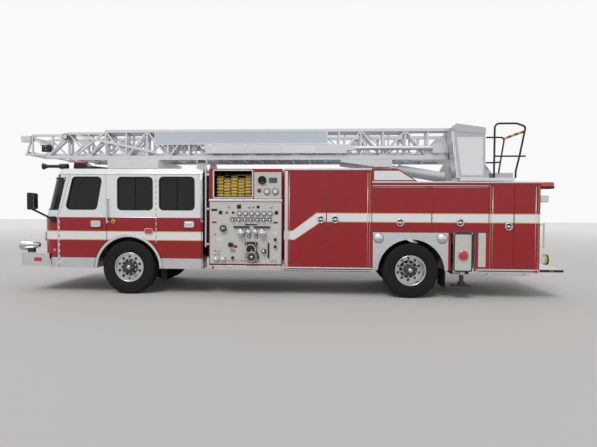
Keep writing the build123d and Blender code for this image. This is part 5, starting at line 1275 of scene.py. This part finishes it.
class FIRE_OT_pump(bpy.types.Operator):
    """Gauges, pulls, capped outlets, valves and frames of the pump panels."""

    bl_idname = "fire.pump"
    bl_label = "Pump panels"

    def execute(self, context):
        for side, sign in SIDES.items():
            self.frames(side, sign)
        self.controls()
        self.inlet()
        self.small_panel()
        self.couplings("left", OUTLETS)
        self.couplings("right", RIGHT_OUTLETS)
        return {"FINISHED"}

    def frames(self, side, sign):
        """Bright frames round the panels and the bin, step plate and screws."""
        piece = Piece("pump_frames_" + side, "chassis", "stainless", sign, PUMP_SIDE)
        for edge, width, radius, inward in ((PANEL_EDGE, 18, 8, 20), (SMALL_PANEL, 14, 8, 16),
                                            (BIN_EDGE, 24, 10, 0)):
            piece.rim(grown(oblong(*edge), -inward), radius, width, 4, -14, "steel", 3)
        piece.plates(PUMP_FRAMES)
        piece.done()
        x0, x1, z0, z1 = PANEL_EDGE
        row = [(x, z) for x in range(1700, 3061, 136) for z in (z0 + 11, z1 - 11)]
        row += [(x, z) for x in (x0 + 11, x1 - 11) for z in range(740, 1800, 132)]
        row += [(x, z) for x in range(1760, 2500, 120) for z in (1937, 2483)]
        side_studs("pump_screws", "chassis", "stainless", side, [(x, z, PUMP_SIDE + 4) for x, z in row],
                   6, 4, "chrome", 10, 0.7)

    def controls(self):
        """Gauges, pulls, switches, labels, hand wheel and levers of the operator's panel."""
        piece = Piece("pump_controls", "chassis", "chrome", -1, PUMP_SIDE)
        piece.plate(2060, 2900, 1470, 1560, -2, 1.5, "blue_grey", 1)
        for x, z, half, tall, finish in LABELS:
            piece.plate(x - half, x + half, z - tall, z + tall, -2, 2, finish, 1)
        for x in GAUGES:
            gauge(piece, x, 1629, 46)
        for x in PULLS:
            piece.plate(x - 36, x + 36, 1488, 1512, 34, 57, "plastic", 7)
            piece.plate(x - 12, x + 12, 1490, 1510, 56, 59, "chrome", 2)
            piece.bar((x, 1500, 0), (x, 1500, 36), 9, "chrome")
            piece.knob([(0, 24), (5, 22), (6, 10)], x, 1500, "chrome", 16)
            piece.plate(x - 30, x + 30, 1528, 1548, -1, 2.5, "label_red", 1)
        for x, z, half, finish in SWITCHES:
            piece.plate(x - half, x + half, z - half, z + half, 0, 12, finish, 5)
            piece.knob([(0, half * 0.45), (22, half * 0.4), (24, 0)], x, z,
                       "red_lens" if finish == "label_red" else "plastic", 16)
        for x0, x1 in ((2137, 2462), (2535, 2860)):
            piece.plate(x0, x1, 1350, 1382, 15, 41, "plastic", 6)
        for x in (2446, 2583):
            gauge(piece, x, 1180, 30)
        x, z = HAND_WHEEL
        piece.knob([(42, 44), (40, 60), (46, 67), (56, 67), (62, 60), (60, 44)], x, z, "plastic", 36,
                   loop=True)
        piece.knob([(0, 20), (64, 18), (70, 12), (70, 0)], x, z, "chrome", 20)
        for c, s in spokes(5):
            piece.bar((x, z, 52), (x + 52 * c, z + 52 * s, 52), 7, "plastic", 8)
        piece.plate(2814, 2842, 756, 1057, 0, 32, "plastic", 5)
        piece.plate(2036, 2124, 976, 1054, 0, 52, "plastic", 8)
        for x, z in KNOBS:
            piece.knob([(0, 14), (30, 12), (34, 30), (48, 30), (54, 20), (54, 0)], x, z, "plastic", 20)
        for x, z in DRAINS:
            piece.knob([(0, 26), (5, 25), (8, 18), (20, 16), (22, 0)], x, z, "chrome", 20)
            piece.knob([(22, 7), (30, 6), (31, 0)], x, z, "panel_black", 12)
        for k in range(7):
            piece.knob([(0, 15), (14, 15), (16, 10), (34, 9), (36, 0)], 2040 + k * 62, 700,
                       "brass" if k % 2 else "chrome", 6)
        piece.done()

    def inlet(self):
        """Gated inlet with its body, bonnet and capped end, and the valve beside it."""
        piece = Piece("pump_inlet", "chassis", "black_paint", -1, PUMP_SIDE)
        x, z = INLET
        piece.knob([(0, 130), (58, 130), (62, 122), (62, 0)], x, z, "plastic", 48)
        piece.knob([(62, 114), (112, 114), (121, 106), (123, 96), (123, 0)], x, z, "iron", 48)
        piece.knob([(122, 96), (126, 92), (126, 84), (122, 80)], x, z, "chrome", 40, loop=True)
        piece.knob([(122, 30), (134, 26), (138, 0)], x, z, "chrome", 6)
        for c, s in spokes(3, 0.75):
            piece.bar((x + 108 * c, z + 108 * s, 92), (x + 146 * c, z + 146 * s, 92), 13, "chrome")
        x, z = GATE
        piece.knob([(0, 104), (60, 104), (92, 98), (103, 80), (103, 0)], x, z, "plastic", 40)
        piece.plate(2391, 2587, 842, 948, 0, 93, "plastic", 12)
        piece.plate(2370, 2608, 1010, 1075, 0, 58, "plastic", 10)
        for bolt_x in (x - 88, x + 88):
            for bolt_z, depth in ((872, 93), (918, 93), (1030, 58), (1056, 58)):
                piece.knob([(0, 11), (10, 11), (12, 7), (12, 0)], bolt_x, bolt_z, "chrome", 6, depth)
        piece.knob([(0, 44), (40, 44), (52, 40), (56, 30), (56, 0)], *VALVE, "plastic", 28)
        piece.knob([(56, 30), (78, 30), (84, 24), (84, 0)], *VALVE, "chrome", 6)
        piece.done()

    def small_panel(self):
        """Speaker, display and large dials beside the bin."""
        piece = Piece("pump_small_panel", "chassis", "black_plastic", -1, PUMP_SIDE)
        piece.knob([(0, 83), (28, 83), (38, 78), (38, 66), (32, 62), (32, 0)], *SPEAKER, "plastic", 40)
        for radius in (14, 27, 40, 53):
            piece.knob([(31, radius - 3), (35, radius), (31, radius + 3)], *SPEAKER, "panel_black", 32,
                       loop=True)
        piece.plate(2836, 2989, 2236, 2334, 0, 15, "plastic", 6)
        piece.plate(2850, 2975, 2262, 2322, 14, 16.5, "lens_dark", 1)
        for x in range(2852, 2980, 32):
            piece.plate(x, x + 22, 2242, 2256, 14, 18, "blue_grey", 2)
        for x in (2795, 2960):
            gauge(piece, x, 2060, 60, 3)
        piece.plate(2606, 2674, 2046, 2114, 0, 14, "plastic", 6)
        piece.knob([(12, 20), (26, 19), (28, 0)], 2640, 2080, "red_lens", 20)
        piece.done()

    def couplings(self, side, table):
        """Bright caps with lugs on the outlets of one side."""
        piece = Piece("pump_couplings_" + side, "chassis", "chrome", SIDES[side], PUMP_SIDE)
        for x, z, radius, reach in table:
            piece.knob([(0, radius + 16), (8, radius + 15), (10, radius + 3), (reach - 34, radius + 3),
                        (reach - 32, radius + 9), (reach, radius + 9), (reach + 6, radius + 3),
                        (reach + 6, 0)], x, z, "chrome", 36)
            piece.knob([(reach + 5, radius * 0.5), (reach + 12, radius * 0.45), (reach + 12, 0)], x, z,
                       "chrome", 6)
            for c, s in spokes(3, 0.25):
                near, far = ((x + c * span, z + s * span, reach - 16) for span in (radius, radius + 24))
                piece.bar(near, far, 8, "chrome")
        piece.done()


# hose bin: first station, pitch and width of the stacks, floor, layers, reach of the folds and their turn
STACKS, STACK_START, STACK_PITCH, STACK_WIDTH = 5, 1765, 143, 132
STACK_FLOOR, STACK_TOPS, LAYERS = 1952, (2376, 2338), 13
FOLD_REACH, FOLD_TURN = 1088, 24


class FIRE_OT_hose(bpy.types.Operator):
    """Folded hose, laid to and fro in the cross bin, one stack beside the next, with an upright black sheet
    on the centre line as painted shade between the folds.
    """

    bl_idname = "fire.hose"
    bl_label = "Hose load"

    def execute(self, context):
        piece = Piece("hose_load", "chassis", "hose_fabric")
        for column in range(STACKS):
            middle = STACK_START + STACK_PITCH * (column + 0.5)
            pitch = (STACK_TOPS[column % 2] - STACK_FLOOR) / LAYERS
            piece.skin(self.rings(middle, pitch, self.folds(pitch, column)), "hose", True)
        # painted shade: upright black sheet on the centre line, seen only in the gaps between the folds
        piece.box((1750, 2495), (-5, 5), (1952, 2466), "panel_black", 1)
        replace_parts(piece.done(), "crosslay_hose")
        return {"FINISHED"}

    def folds(self, pitch, column):
        """Path of one hose, as (sideways drift, y, z)."""
        path = []
        for k in range(LAYERS):
            z = STACK_FLOOR + pitch * (k + 0.5)
            swing = 1 if k % 2 else -1
            drift = 9 * math.sin(2.3 * k + column * 1.7)
            reach = FOLD_REACH + 12 * math.sin(1.9 * k + column)
            path += [(drift, -swing * reach, z), (drift, 0, z - 2), (drift, swing * reach, z)]
            for turn in (30, 60, 90, 120, 150) if k < LAYERS - 1 else ():
                angle = math.radians(turn)
                path.append((drift * 0.5, swing * (reach + FOLD_TURN * math.sin(angle)),
                             z + pitch * (1 - math.cos(angle)) / 2))
        return path

    def rings(self, middle, pitch, path):
        """Flattened rounds carried along the path of one hose."""
        section = [(math.copysign(abs(c) ** 0.55, c) * STACK_WIDTH / 2,
                    math.copysign(abs(s) ** 0.7, s) * pitch * 0.46) for c, s in spokes(12)]
        rings = []
        for (drift, y, z), before, after in zip(path, path[:1] + path, path[1:] + path[-1:]):
            length = math.hypot(after[1] - before[1], after[2] - before[2])
            up_y, up_z = -(after[2] - before[2]) / length, (after[1] - before[1]) / length
            rings.append([place(middle + drift + flat, y + up_y * thick, z + up_z * thick)
                          for flat, thick in section])
        return rings


# leaves of the lockers: outline (x low, x high, z low, z high) and handles
LEAVES = {"front_locker_fore": (3222, 3962, 595, 2446, ((3852, 1523),)),
          "front_locker_aft": (3962, 4767, 595, 2446, ((4128, 1524),)),
          "rear_locker_fore": (7119, 7527, 625, 2200, ((7428, 1408),)),
          "rear_locker_aft": (7527, 7940, 625, 2200, ()),
          "upper_doors": (4837, 7060, 1300, 2160, ((5384, 1472), (6522, 1480)))}
UPPER_SPLIT = 5984
FENDER_EYES = ((4975, 1165), (6190, 1165))
# rub rails with their inlays, end lamps, top rails, seams, posts and the flap
BODY_PLATES = [
    *(row for x0, x1 in ((3140, 4848), (6862, 7990))
      for row in ((x0, x1, 520, 588, -2, 14, "steel", 5), (x0 + 8, x1 - 8, 545, 563, 13, 16, "gasket", 2))),
    (3140, 3210, 534, 576, 13, 18, "amber_lens", 3),
    (7910, 7984, 534, 576, 13, 18, "red_lens", 3),
    (3134, 4834, 2484, 2518, -3, 5, "steel", 3),
    (4840, 8008, 2238, 2266, -3, 5, "steel", 3),
    (4850, 7050, 2176, 2190, -3, 8, "chrome", 3),
    *((x - 4, x + 4, 600, top, -3, 3, "brass", 1) for x, top in ((4800, 2460), (7085, 2200), (7980, 2200))),
    (3146, 3206, 600, 2460, -3, 3, "steel", 2),
    (6869, 7009, 629, 1283, -3, 3, "warm_grey", 2),
    (6242.6, 6257.4, 208.5, 552, -642, -13, "gasket", 2),
]
OUTRIGGER_FACE = BODY_SIDE + 2
OUTRIGGER_COVER = (6402, 6766, 533, 1279)
OUTRIGGER_LAMP = (6584, 854)


class FIRE_OT_body(bpy.types.Operator):
    """Edges, handles, hinges, rails, hatches and flaps of the body."""

    bl_idname = "fire.body"
    bl_label = "Body fittings"

    def execute(self, context):
        for side, sign in SIDES.items():
            for name, leaf in LEAVES.items():
                self.leaf(name, side, sign, leaf)
            self.rails(side, sign)
            self.outrigger(side, sign)
        return {"FINISHED"}

    def leaf(self, name, side, sign, leaf):
        """Red edge, chrome handles and hinges of one locker door."""
        x0, x1, z0, z1, handles = leaf
        piece = Piece(f"{name}_fittings_{side}", f"{name}_{side}", "stainless", sign, BODY_SIDE)
        lifts = name == "upper_doors"
        for a, b in ((x0, UPPER_SPLIT), (UPPER_SPLIT, x1)) if lifts else ((x0, x1),):
            piece.rim(grown(oblong(a, b, z0, z1), -10), 4, 7, 1.5, -6, "red", 3)
            if lifts:
                piece.turned([(0, 7), (b - a - 30, 7)], (a + 15, piece.out(-1), z1 - 6), (1, 0, 0),
                             "steel", 10)
        if not lifts:
            hinge = x0 + 9 if name.endswith("fore") else x1 - 9
            piece.turned([(0, 6.5), (z1 - z0 - 40, 6.5)], (hinge, piece.out(-1), z0 + 20), (0, 0, 1),
                         "steel", 10)
        for x, z in handles:
            piece.knob([(0, 52), (20, 53), (24, 58), (24, 70), (19, 76), (0, 77)], x, z, "chrome", 40,
                       loop=True)
            piece.knob([(0, 53), (4, 53), (4, 0)], x, z, "panel_black", 32)
            piece.knob([(0, 29), (17, 28), (19, 22), (19, 0)], x, z, "chrome", 28)
            piece.plate(x - 74, x + 74, z - 12, z + 12, 4, 18, "chrome", 5)
        piece.done()

    def rails(self, side, sign):
        """Plates, white corner panel, hatches, arch edge and rivets of one side."""
        piece = Piece("body_trim_" + side, "chassis", "stainless", sign, BODY_SIDE)
        piece.plates(BODY_PLATES)
        piece.panel([(4877, 2290), (5642, 2290), (5353, 2470), (4877, 2470)], -3, 3, "white", 2)
        for x, z in FENDER_EYES:
            piece.knob([(0, 92), (2, 91), (3, 93), (3, 96), (2, 98), (0, 98)], x, z, "gasket", 40, 4, True)
            piece.knob([(0, 91), (2, 90), (2, 0)], x, z, "steel", 40, 4)
            piece.knob([(2, 20), (9, 18), (10, 0)], x + 40, z, "chrome", 20, 4)
        arch_edges(piece, WHEELBASE, 2, 4, 4)
        piece.done()
        rivets = [(x, z, BODY_SIDE + 5) for z, x0, x1 in ((2501, 3180, 4810), (2252, 4880, 7980))
                  for x in range(x0, x1, 110)]
        rivets += [(x, z, BODY_SIDE + 3) for x in (6880, 6998) for z in range(645, 1280, 104)]
        side_studs("body_rivets", "chassis", "stainless", side, rivets, 6, 3, "chrome", 8, 0.6)

    def outrigger(self, side, sign):
        """Black edge, red lamp and bolts of the outrigger's cover."""
        body = "outrigger_beam_" + side
        piece = Piece("outrigger_trim_" + side, body, "black_plastic", sign, OUTRIGGER_FACE)
        piece.rim(grown(oblong(*OUTRIGGER_COVER), -26), 20, 24, 3, -9, "plastic", 5)
        x, z = OUTRIGGER_LAMP
        piece.knob([(0, 97), (30, 97), (36, 92), (36, 84), (0, 84)], x, z, "chrome", 40, loop=True)
        piece.knob([(0, 90), (40, 88), (48, 70), (51, 40), (52, 0)], x, z, "red_lens", 40)
        piece.done()
        bolts = [(bolt_x, bolt_z, OUTRIGGER_FACE + 1)
                 for bolt_x in (x - 120, x + 120) for bolt_z in (600, 720, 1080, 1200)]
        side_studs("outrigger_bolts", body, "chrome", side, bolts, 11, 7, "chrome", 6, 0.9)


# the ladder's sign: x low, x high, z low, z high; brackets and lids of the side box
SIGN = (302, 3981, 3074, 3362)
LADDER_PLATES = [
    (*SIGN, 565, 568.5, "sign", 1),
    *((x, x + 26, 2877.5, 3063.5, 545, 642.5, "steel", 3) for x in (1500, 2250, 3000, 3750, 4300)),
    *((x, x + 710, 2905, 3036, 640, 642, "white", 2) for x in (1530, 2280, 3030)),
]


class FIRE_OT_ladder(bpy.types.Operator):
    """Blank sign, side box, tip fittings, spotlights and bolts of the ladder."""

    bl_idname = "fire.ladder"
    bl_label = "Ladder fittings"

    def execute(self, context):
        for side, sign in SIDES.items():
            piece = Piece("ladder_sign_" + side, "ladder_base", "grey_paint", sign)
            piece.plates(LADDER_PLATES)
            piece.rim(grown(oblong(*SIGN), -18), 6, 18, 571, 560, "white", 3)
            piece.turned([(0, 84), (26, 84), (34, 76), (36, 40), (37, 0)], (1401, sign * 592, 2970),
                         (-1, 0, 0), "chrome", 36)
            piece.done()
            screws = [(x, z, 571) for x in range(360, 3960, 240) for z in (3086, 3350)]
            side_studs("sign_screws", "ladder_base", "chrome", side, screws, 7, 4, "chrome", 8, 0.6)
            bolts = [(x, z, 560) for x in range(-700, 6300, 445) for z in (2782, 2818)]
            side_studs("chord_bolts", "ladder_base", "chrome", side, bolts, 9, 6, "chrome", 6, 0.85)
        self.tip()
        self.spotlights()
        return {"FINISHED"}

    def tip(self):
        """Lamp and control box at the end of the fly section."""
        piece = Piece("ladder_tip", "ladder_fly", "white_plastic")
        piece.box((-2742, -2532), (-403, -297), (3167, 3303), "white_plastic", 14)
        piece.turned([(0, 46), (11, 44), (12, 0)], (-2742, -350, 3235), (-1, 0, 0), "clear_lens", 24)
        piece.box((-2263, -2067), (-443, -376), (2947, 3093), "panel_black", 8)
        for x, z, finish in ((-2215, 3050, "red_lens"), (-2165, 3050, "yellow"), (-2115, 3050, "plastic"),
                             (-2165, 2990, "blue_grey")):
            piece.turned([(0, 14), (8, 13), (9, 0)], (x, -442, z), (0, -1, 0), finish, 16)
        piece.done()

    def spotlights(self):
        """Spotlight and its bracket on both sides of the mid section."""
        piece = Piece("spotlight", "ladder_mid", "black_plastic")
        for sign in SIDES.values():
            spot = (-1680, sign * 476, 3255)
            piece.slab([(-1940, 3300), (-1640, 3360), (-1640, 3130)], (sign * 472, sign * 478), "white", 2)
            piece.turned([(0, 40), (30, 58), (62, 62), (66, 56), (66, 0)], spot, (0, sign, 0), "plastic", 28)
            piece.turned([(66, 50), (69, 46), (70, 0)], spot, (0, sign, 0), "clear_lens", 28)
        piece.done()


CONSOLE_Y = -984
TURN_X = 7100
DECK_Z = 2351
# wrapped bar: distance behind the turntable's middle, and height
WRAPPED_BAR = [(305, 3110), (370, 3139), (435, 3165), (500, 3190), (560, 3211), (620, 3231), (675, 3250)]
# outlines in x and z between two y
CONSOLE_SLABS = [
    ([(6386, 3270), (6440, 3258), (6552, 2362), (6505, 2362)], (-983.5, -979), "tread", 1),
    ([(6386, 3270), (6440, 3258), (6552, 2362), (6505, 2362)], (-661, -656.5), "tread", 1),
    ([(6384, 3274), (6390, 3274), (6509, 2362), (6502, 2362)], (-978, -662), "tread", 1),
    ([(6600, 2400), (7020, 2400), (7010, 3150), (6500, 3150)], (-984, -979), "white", 2),
]


class FIRE_OT_turntable(bpy.types.Operator):
    """Tread sheet, console edge, levers, wrapped bar and bolts of the turntable."""

    bl_idname = "fire.turntable"
    bl_label = "Turntable fittings"

    def execute(self, context):
        piece = Piece("turntable_trim", "turntable", "aluminium")
        piece.box((6680, 7560), (-400, 400), (DECK_Z, DECK_Z + 4), "tread", 1)
        piece.box((7150, 7560), (480, 980), (DECK_Z, DECK_Z + 4), "tread", 1)
        piece.box((7250, 7598), (-948, -622), (2449, 2454), "tread", 1)
        for row in CONSOLE_SLABS:
            piece.slab(*row)
        piece.box((6990, 7006), (-986, -980), (2700, 2800), "chrome", 3)
        piece.box((7064, 7137), (-962, -838), (2517, 2523), "panel_black", 3)
        for k, ((a, low), (b, high)) in enumerate(zip(WRAPPED_BAR, WRAPPED_BAR[1:])):
            piece.rod((TURN_X + a, -975, low), (TURN_X + b, -975, high), 24, "red" if k % 2 else "yellow", 14)
        for x in range(6560, 6994, 62):
            piece.rod((x, -820, 3200), (x + 10, -820, 3262), 7, "chrome", 8)
            piece.turned([(0, 13), (18, 14), (24, 8), (25, 0)], (x + 10, -820, 3256), (0.15, 0, 1),
                         "plastic", 12)
        piece.done()
        rivets = [(x, z) for z in (2420, 3130) for x in range(6620, 7010, 48)]
        rivets += [(6996, z) for z in range(2470, 3100, 48)]
        studs("console_rivets", "turntable", "chrome", [((x, CONSOLE_Y, z), (0, -1, 0)) for x, z in rivets],
              6, 4, "chrome", 8, 0.6)
        ring = [((TURN_X + 380 * c, 380 * s, DECK_Z + 3), (0, 0, 1)) for c, s in spokes(36)]
        studs("turntable_bolts", "turntable", "chrome", ring, 15, 12, "chrome", 6, 0.9)
        return {"FINISHED"}


# camera solved from the photograph: place, yaw, pitch and roll in degrees, width of the picture in pixels
EYE = (3992, -10648, 1721)
YAW, PITCH, ROLL = -3.50, -1.70, 0.29
PICTURE_WIDTH = 597
FLOOR_REACH = 60
HORIZON = (0.86, 0.86, 0.86)


class StageSettings(bpy.types.PropertyGroup):
    """Studio light and camera."""

    sky: bpy.props.FloatProperty(name="Sky", description="Even light from all sides", default=0.55)
    sun: bpy.props.FloatProperty(name="Sun", description="Soft light from above", default=1.3)
    floor: bpy.props.FloatVectorProperty(name="Floor", description="Colour of the floor", subtype="COLOR",
                                         default=(0.60, 0.59, 0.57))
    focal: bpy.props.FloatProperty(name="Focal length", description="In pixels of the picture", default=482.0)


class FIRE_OT_stage(bpy.types.Operator):
    """Floor, light and the camera of the photograph."""

    bl_idname = "fire.stage"
    bl_label = "Stage"

    def execute(self, context):
        settings = context.scene.fire_stage
        self.floor(context, tuple(settings.floor))
        self.sky(context, settings.sky)
        self.sun(context, settings.sun)
        self.camera(context, settings.focal)
        context.scene.view_settings.view_transform = "Standard"
        return {"FINISHED"}

    def floor(self, context, colour):
        """Flat floor that fades into the horizon."""
        mesh = bpy.data.meshes.new("floor")
        mesh.from_pydata([(x, y, 0) for x, y in oblong(-FLOOR_REACH, FLOOR_REACH, -FLOOR_REACH, FLOOR_REACH)],
                         [], [(0, 1, 2, 3)])
        ground = bpy.data.objects.new("floor", mesh)
        context.scene.collection.objects.link(ground)
        concrete = Finish("floor", colour, rough=0.9)
        far = concrete.node("ShaderNodeVectorMath", operation="LENGTH")
        concrete.put(far.inputs[0], concrete.coords)
        concrete.colour(concrete.ramp(far.outputs["Value"], 12.0, 40.0), colour, HORIZON)
        mesh.materials.append(concrete.material)

    def sky(self, context, strength):
        """Even light, behind a bright backdrop that the camera and reflections see."""
        world = bpy.data.worlds.new("sky")
        context.scene.world = world
        world.use_nodes = True
        nodes, links = world.node_tree.nodes, world.node_tree.links
        nodes.clear()
        shaders = []
        for colour, amount in (((0.95, 0.97, 1.0, 1), strength), ((0.95, 0.95, 0.96, 1), 1.0)):
            shader = nodes.new("ShaderNodeBackground")
            shader.inputs["Color"].default_value = colour
            shader.inputs["Strength"].default_value = amount
            shaders.append(shader)
        path = nodes.new("ShaderNodeLightPath")
        seen = path.outputs["Is Camera Ray"]
        for label in ("Is Transmission Ray", "Is Glossy Ray"):
            either = nodes.new("ShaderNodeMath")
            either.operation = "MAXIMUM"
            links.new(seen, either.inputs[0])
            links.new(path.outputs[label], either.inputs[1])
            seen = either.outputs[0]
        choose = nodes.new("ShaderNodeMixShader")
        for socket, output in zip(choose.inputs, (seen, *(shader.outputs[0] for shader in shaders))):
            links.new(output, socket)
        links.new(choose.outputs[0], nodes.new("ShaderNodeOutputWorld").inputs[0])

    def sun(self, context, energy):
        """Soft light from above."""
        sun = bpy.data.lights.new("sun", "SUN")
        sun.energy = energy
        sun.angle = math.radians(25)
        sun.color = (1.0, 0.97, 0.93)
        lamp = bpy.data.objects.new("sun", sun)
        lamp.rotation_euler = (math.radians(38), math.radians(-16), 0)
        context.scene.collection.objects.link(lamp)

    def camera(self, context, focal):
        """Camera at the photograph's place, turned by its yaw, pitch and roll."""
        yaw, pitch, roll = map(math.radians, (YAW, PITCH, ROLL))
        way = Vector((math.sin(yaw) * math.cos(pitch), math.cos(yaw) * math.cos(pitch), math.sin(pitch)))
        right = Vector((math.cos(yaw), -math.sin(yaw), 0))
        up = right.cross(way)
        leant_right = right * math.cos(roll) + up * math.sin(roll)
        leant_up = up * math.cos(roll) - right * math.sin(roll)
        data = bpy.data.cameras.new("camera")
        data.sensor_width = 36
        data.sensor_fit = "HORIZONTAL"
        data.lens = focal / PICTURE_WIDTH * data.sensor_width
        eye = bpy.data.objects.new("camera", data)
        turn = Matrix((leant_right, leant_up, -way)).transposed()
        eye.matrix_world = Matrix.Translation(place(*EYE)) @ turn.to_4x4()
        context.scene.collection.objects.link(eye)
        context.scene.camera = eye


class FIRE_OT_finishes(bpy.types.Operator):
    """Makes the finishes and gives each solid of the frame its own."""

    bl_idname = "fire.finishes"
    bl_label = "Finishes"

    def execute(self, context):
        for label in ("red", "white", "gold"):
            TINT[label] = tuple(getattr(context.scene.fire_paint, label))
        MATERIALS.update(make_finishes())
        chosen = NODE_FINISH | {f"{name}_{side}": finish for name, finish in SIDE_FINISH.items()
                                for side in SIDES}
        for name, node in NODES.items():
            node.data.materials.clear()
            node.data.materials.append(MATERIALS[chosen[name]])
        return {"FINISHED"}


class FIRE_PT_panel(bpy.types.Panel):
    """Lists the settings and the pieces of the fire engine."""

    bl_idname = "FIRE_PT_panel"
    bl_label = "Fire engine"
    bl_space_type = "VIEW_3D"
    bl_region_type = "UI"
    bl_category = "Fire engine"

    def draw(self, context):
        column = self.layout.column()
        for owner, group in SETTINGS.items():
            for label in group.__annotations__:
                column.prop(getattr(context.scene, owner), label)
        for item in OPERATORS:
            column.operator(item.bl_idname)


SETTINGS = {"fire_stage": StageSettings, "fire_paint": PaintSettings, "fire_wheels": WheelSettings,
            "fire_lamps": LampSettings}
OPERATORS = [FIRE_OT_stage, FIRE_OT_finishes, FIRE_OT_wheels, FIRE_OT_windows, FIRE_OT_cab, FIRE_OT_interior,
             FIRE_OT_lamps, FIRE_OT_pump, FIRE_OT_hose, FIRE_OT_body, FIRE_OT_ladder, FIRE_OT_turntable]
CLASSES = [*SETTINGS.values(), *OPERATORS, FIRE_PT_panel]


def register():
    """Adds the classes and the settings of the scene."""
    for item in CLASSES:
        bpy.utils.register_class(item)
    for owner, group in SETTINGS.items():
        setattr(bpy.types.Scene, owner, bpy.props.PointerProperty(type=group))


def unregister():
    """Takes away what register() added."""
    for owner in SETTINGS:
        delattr(bpy.types.Scene, owner)
    for item in reversed(CLASSES):
        bpy.utils.unregister_class(item)


def main():
    """Runs every operator in order."""
    register()
    for item in OPERATORS:
        getattr(bpy.ops.fire, item.bl_idname.split(".")[1])()


if __name__ == "__main__":
    main()
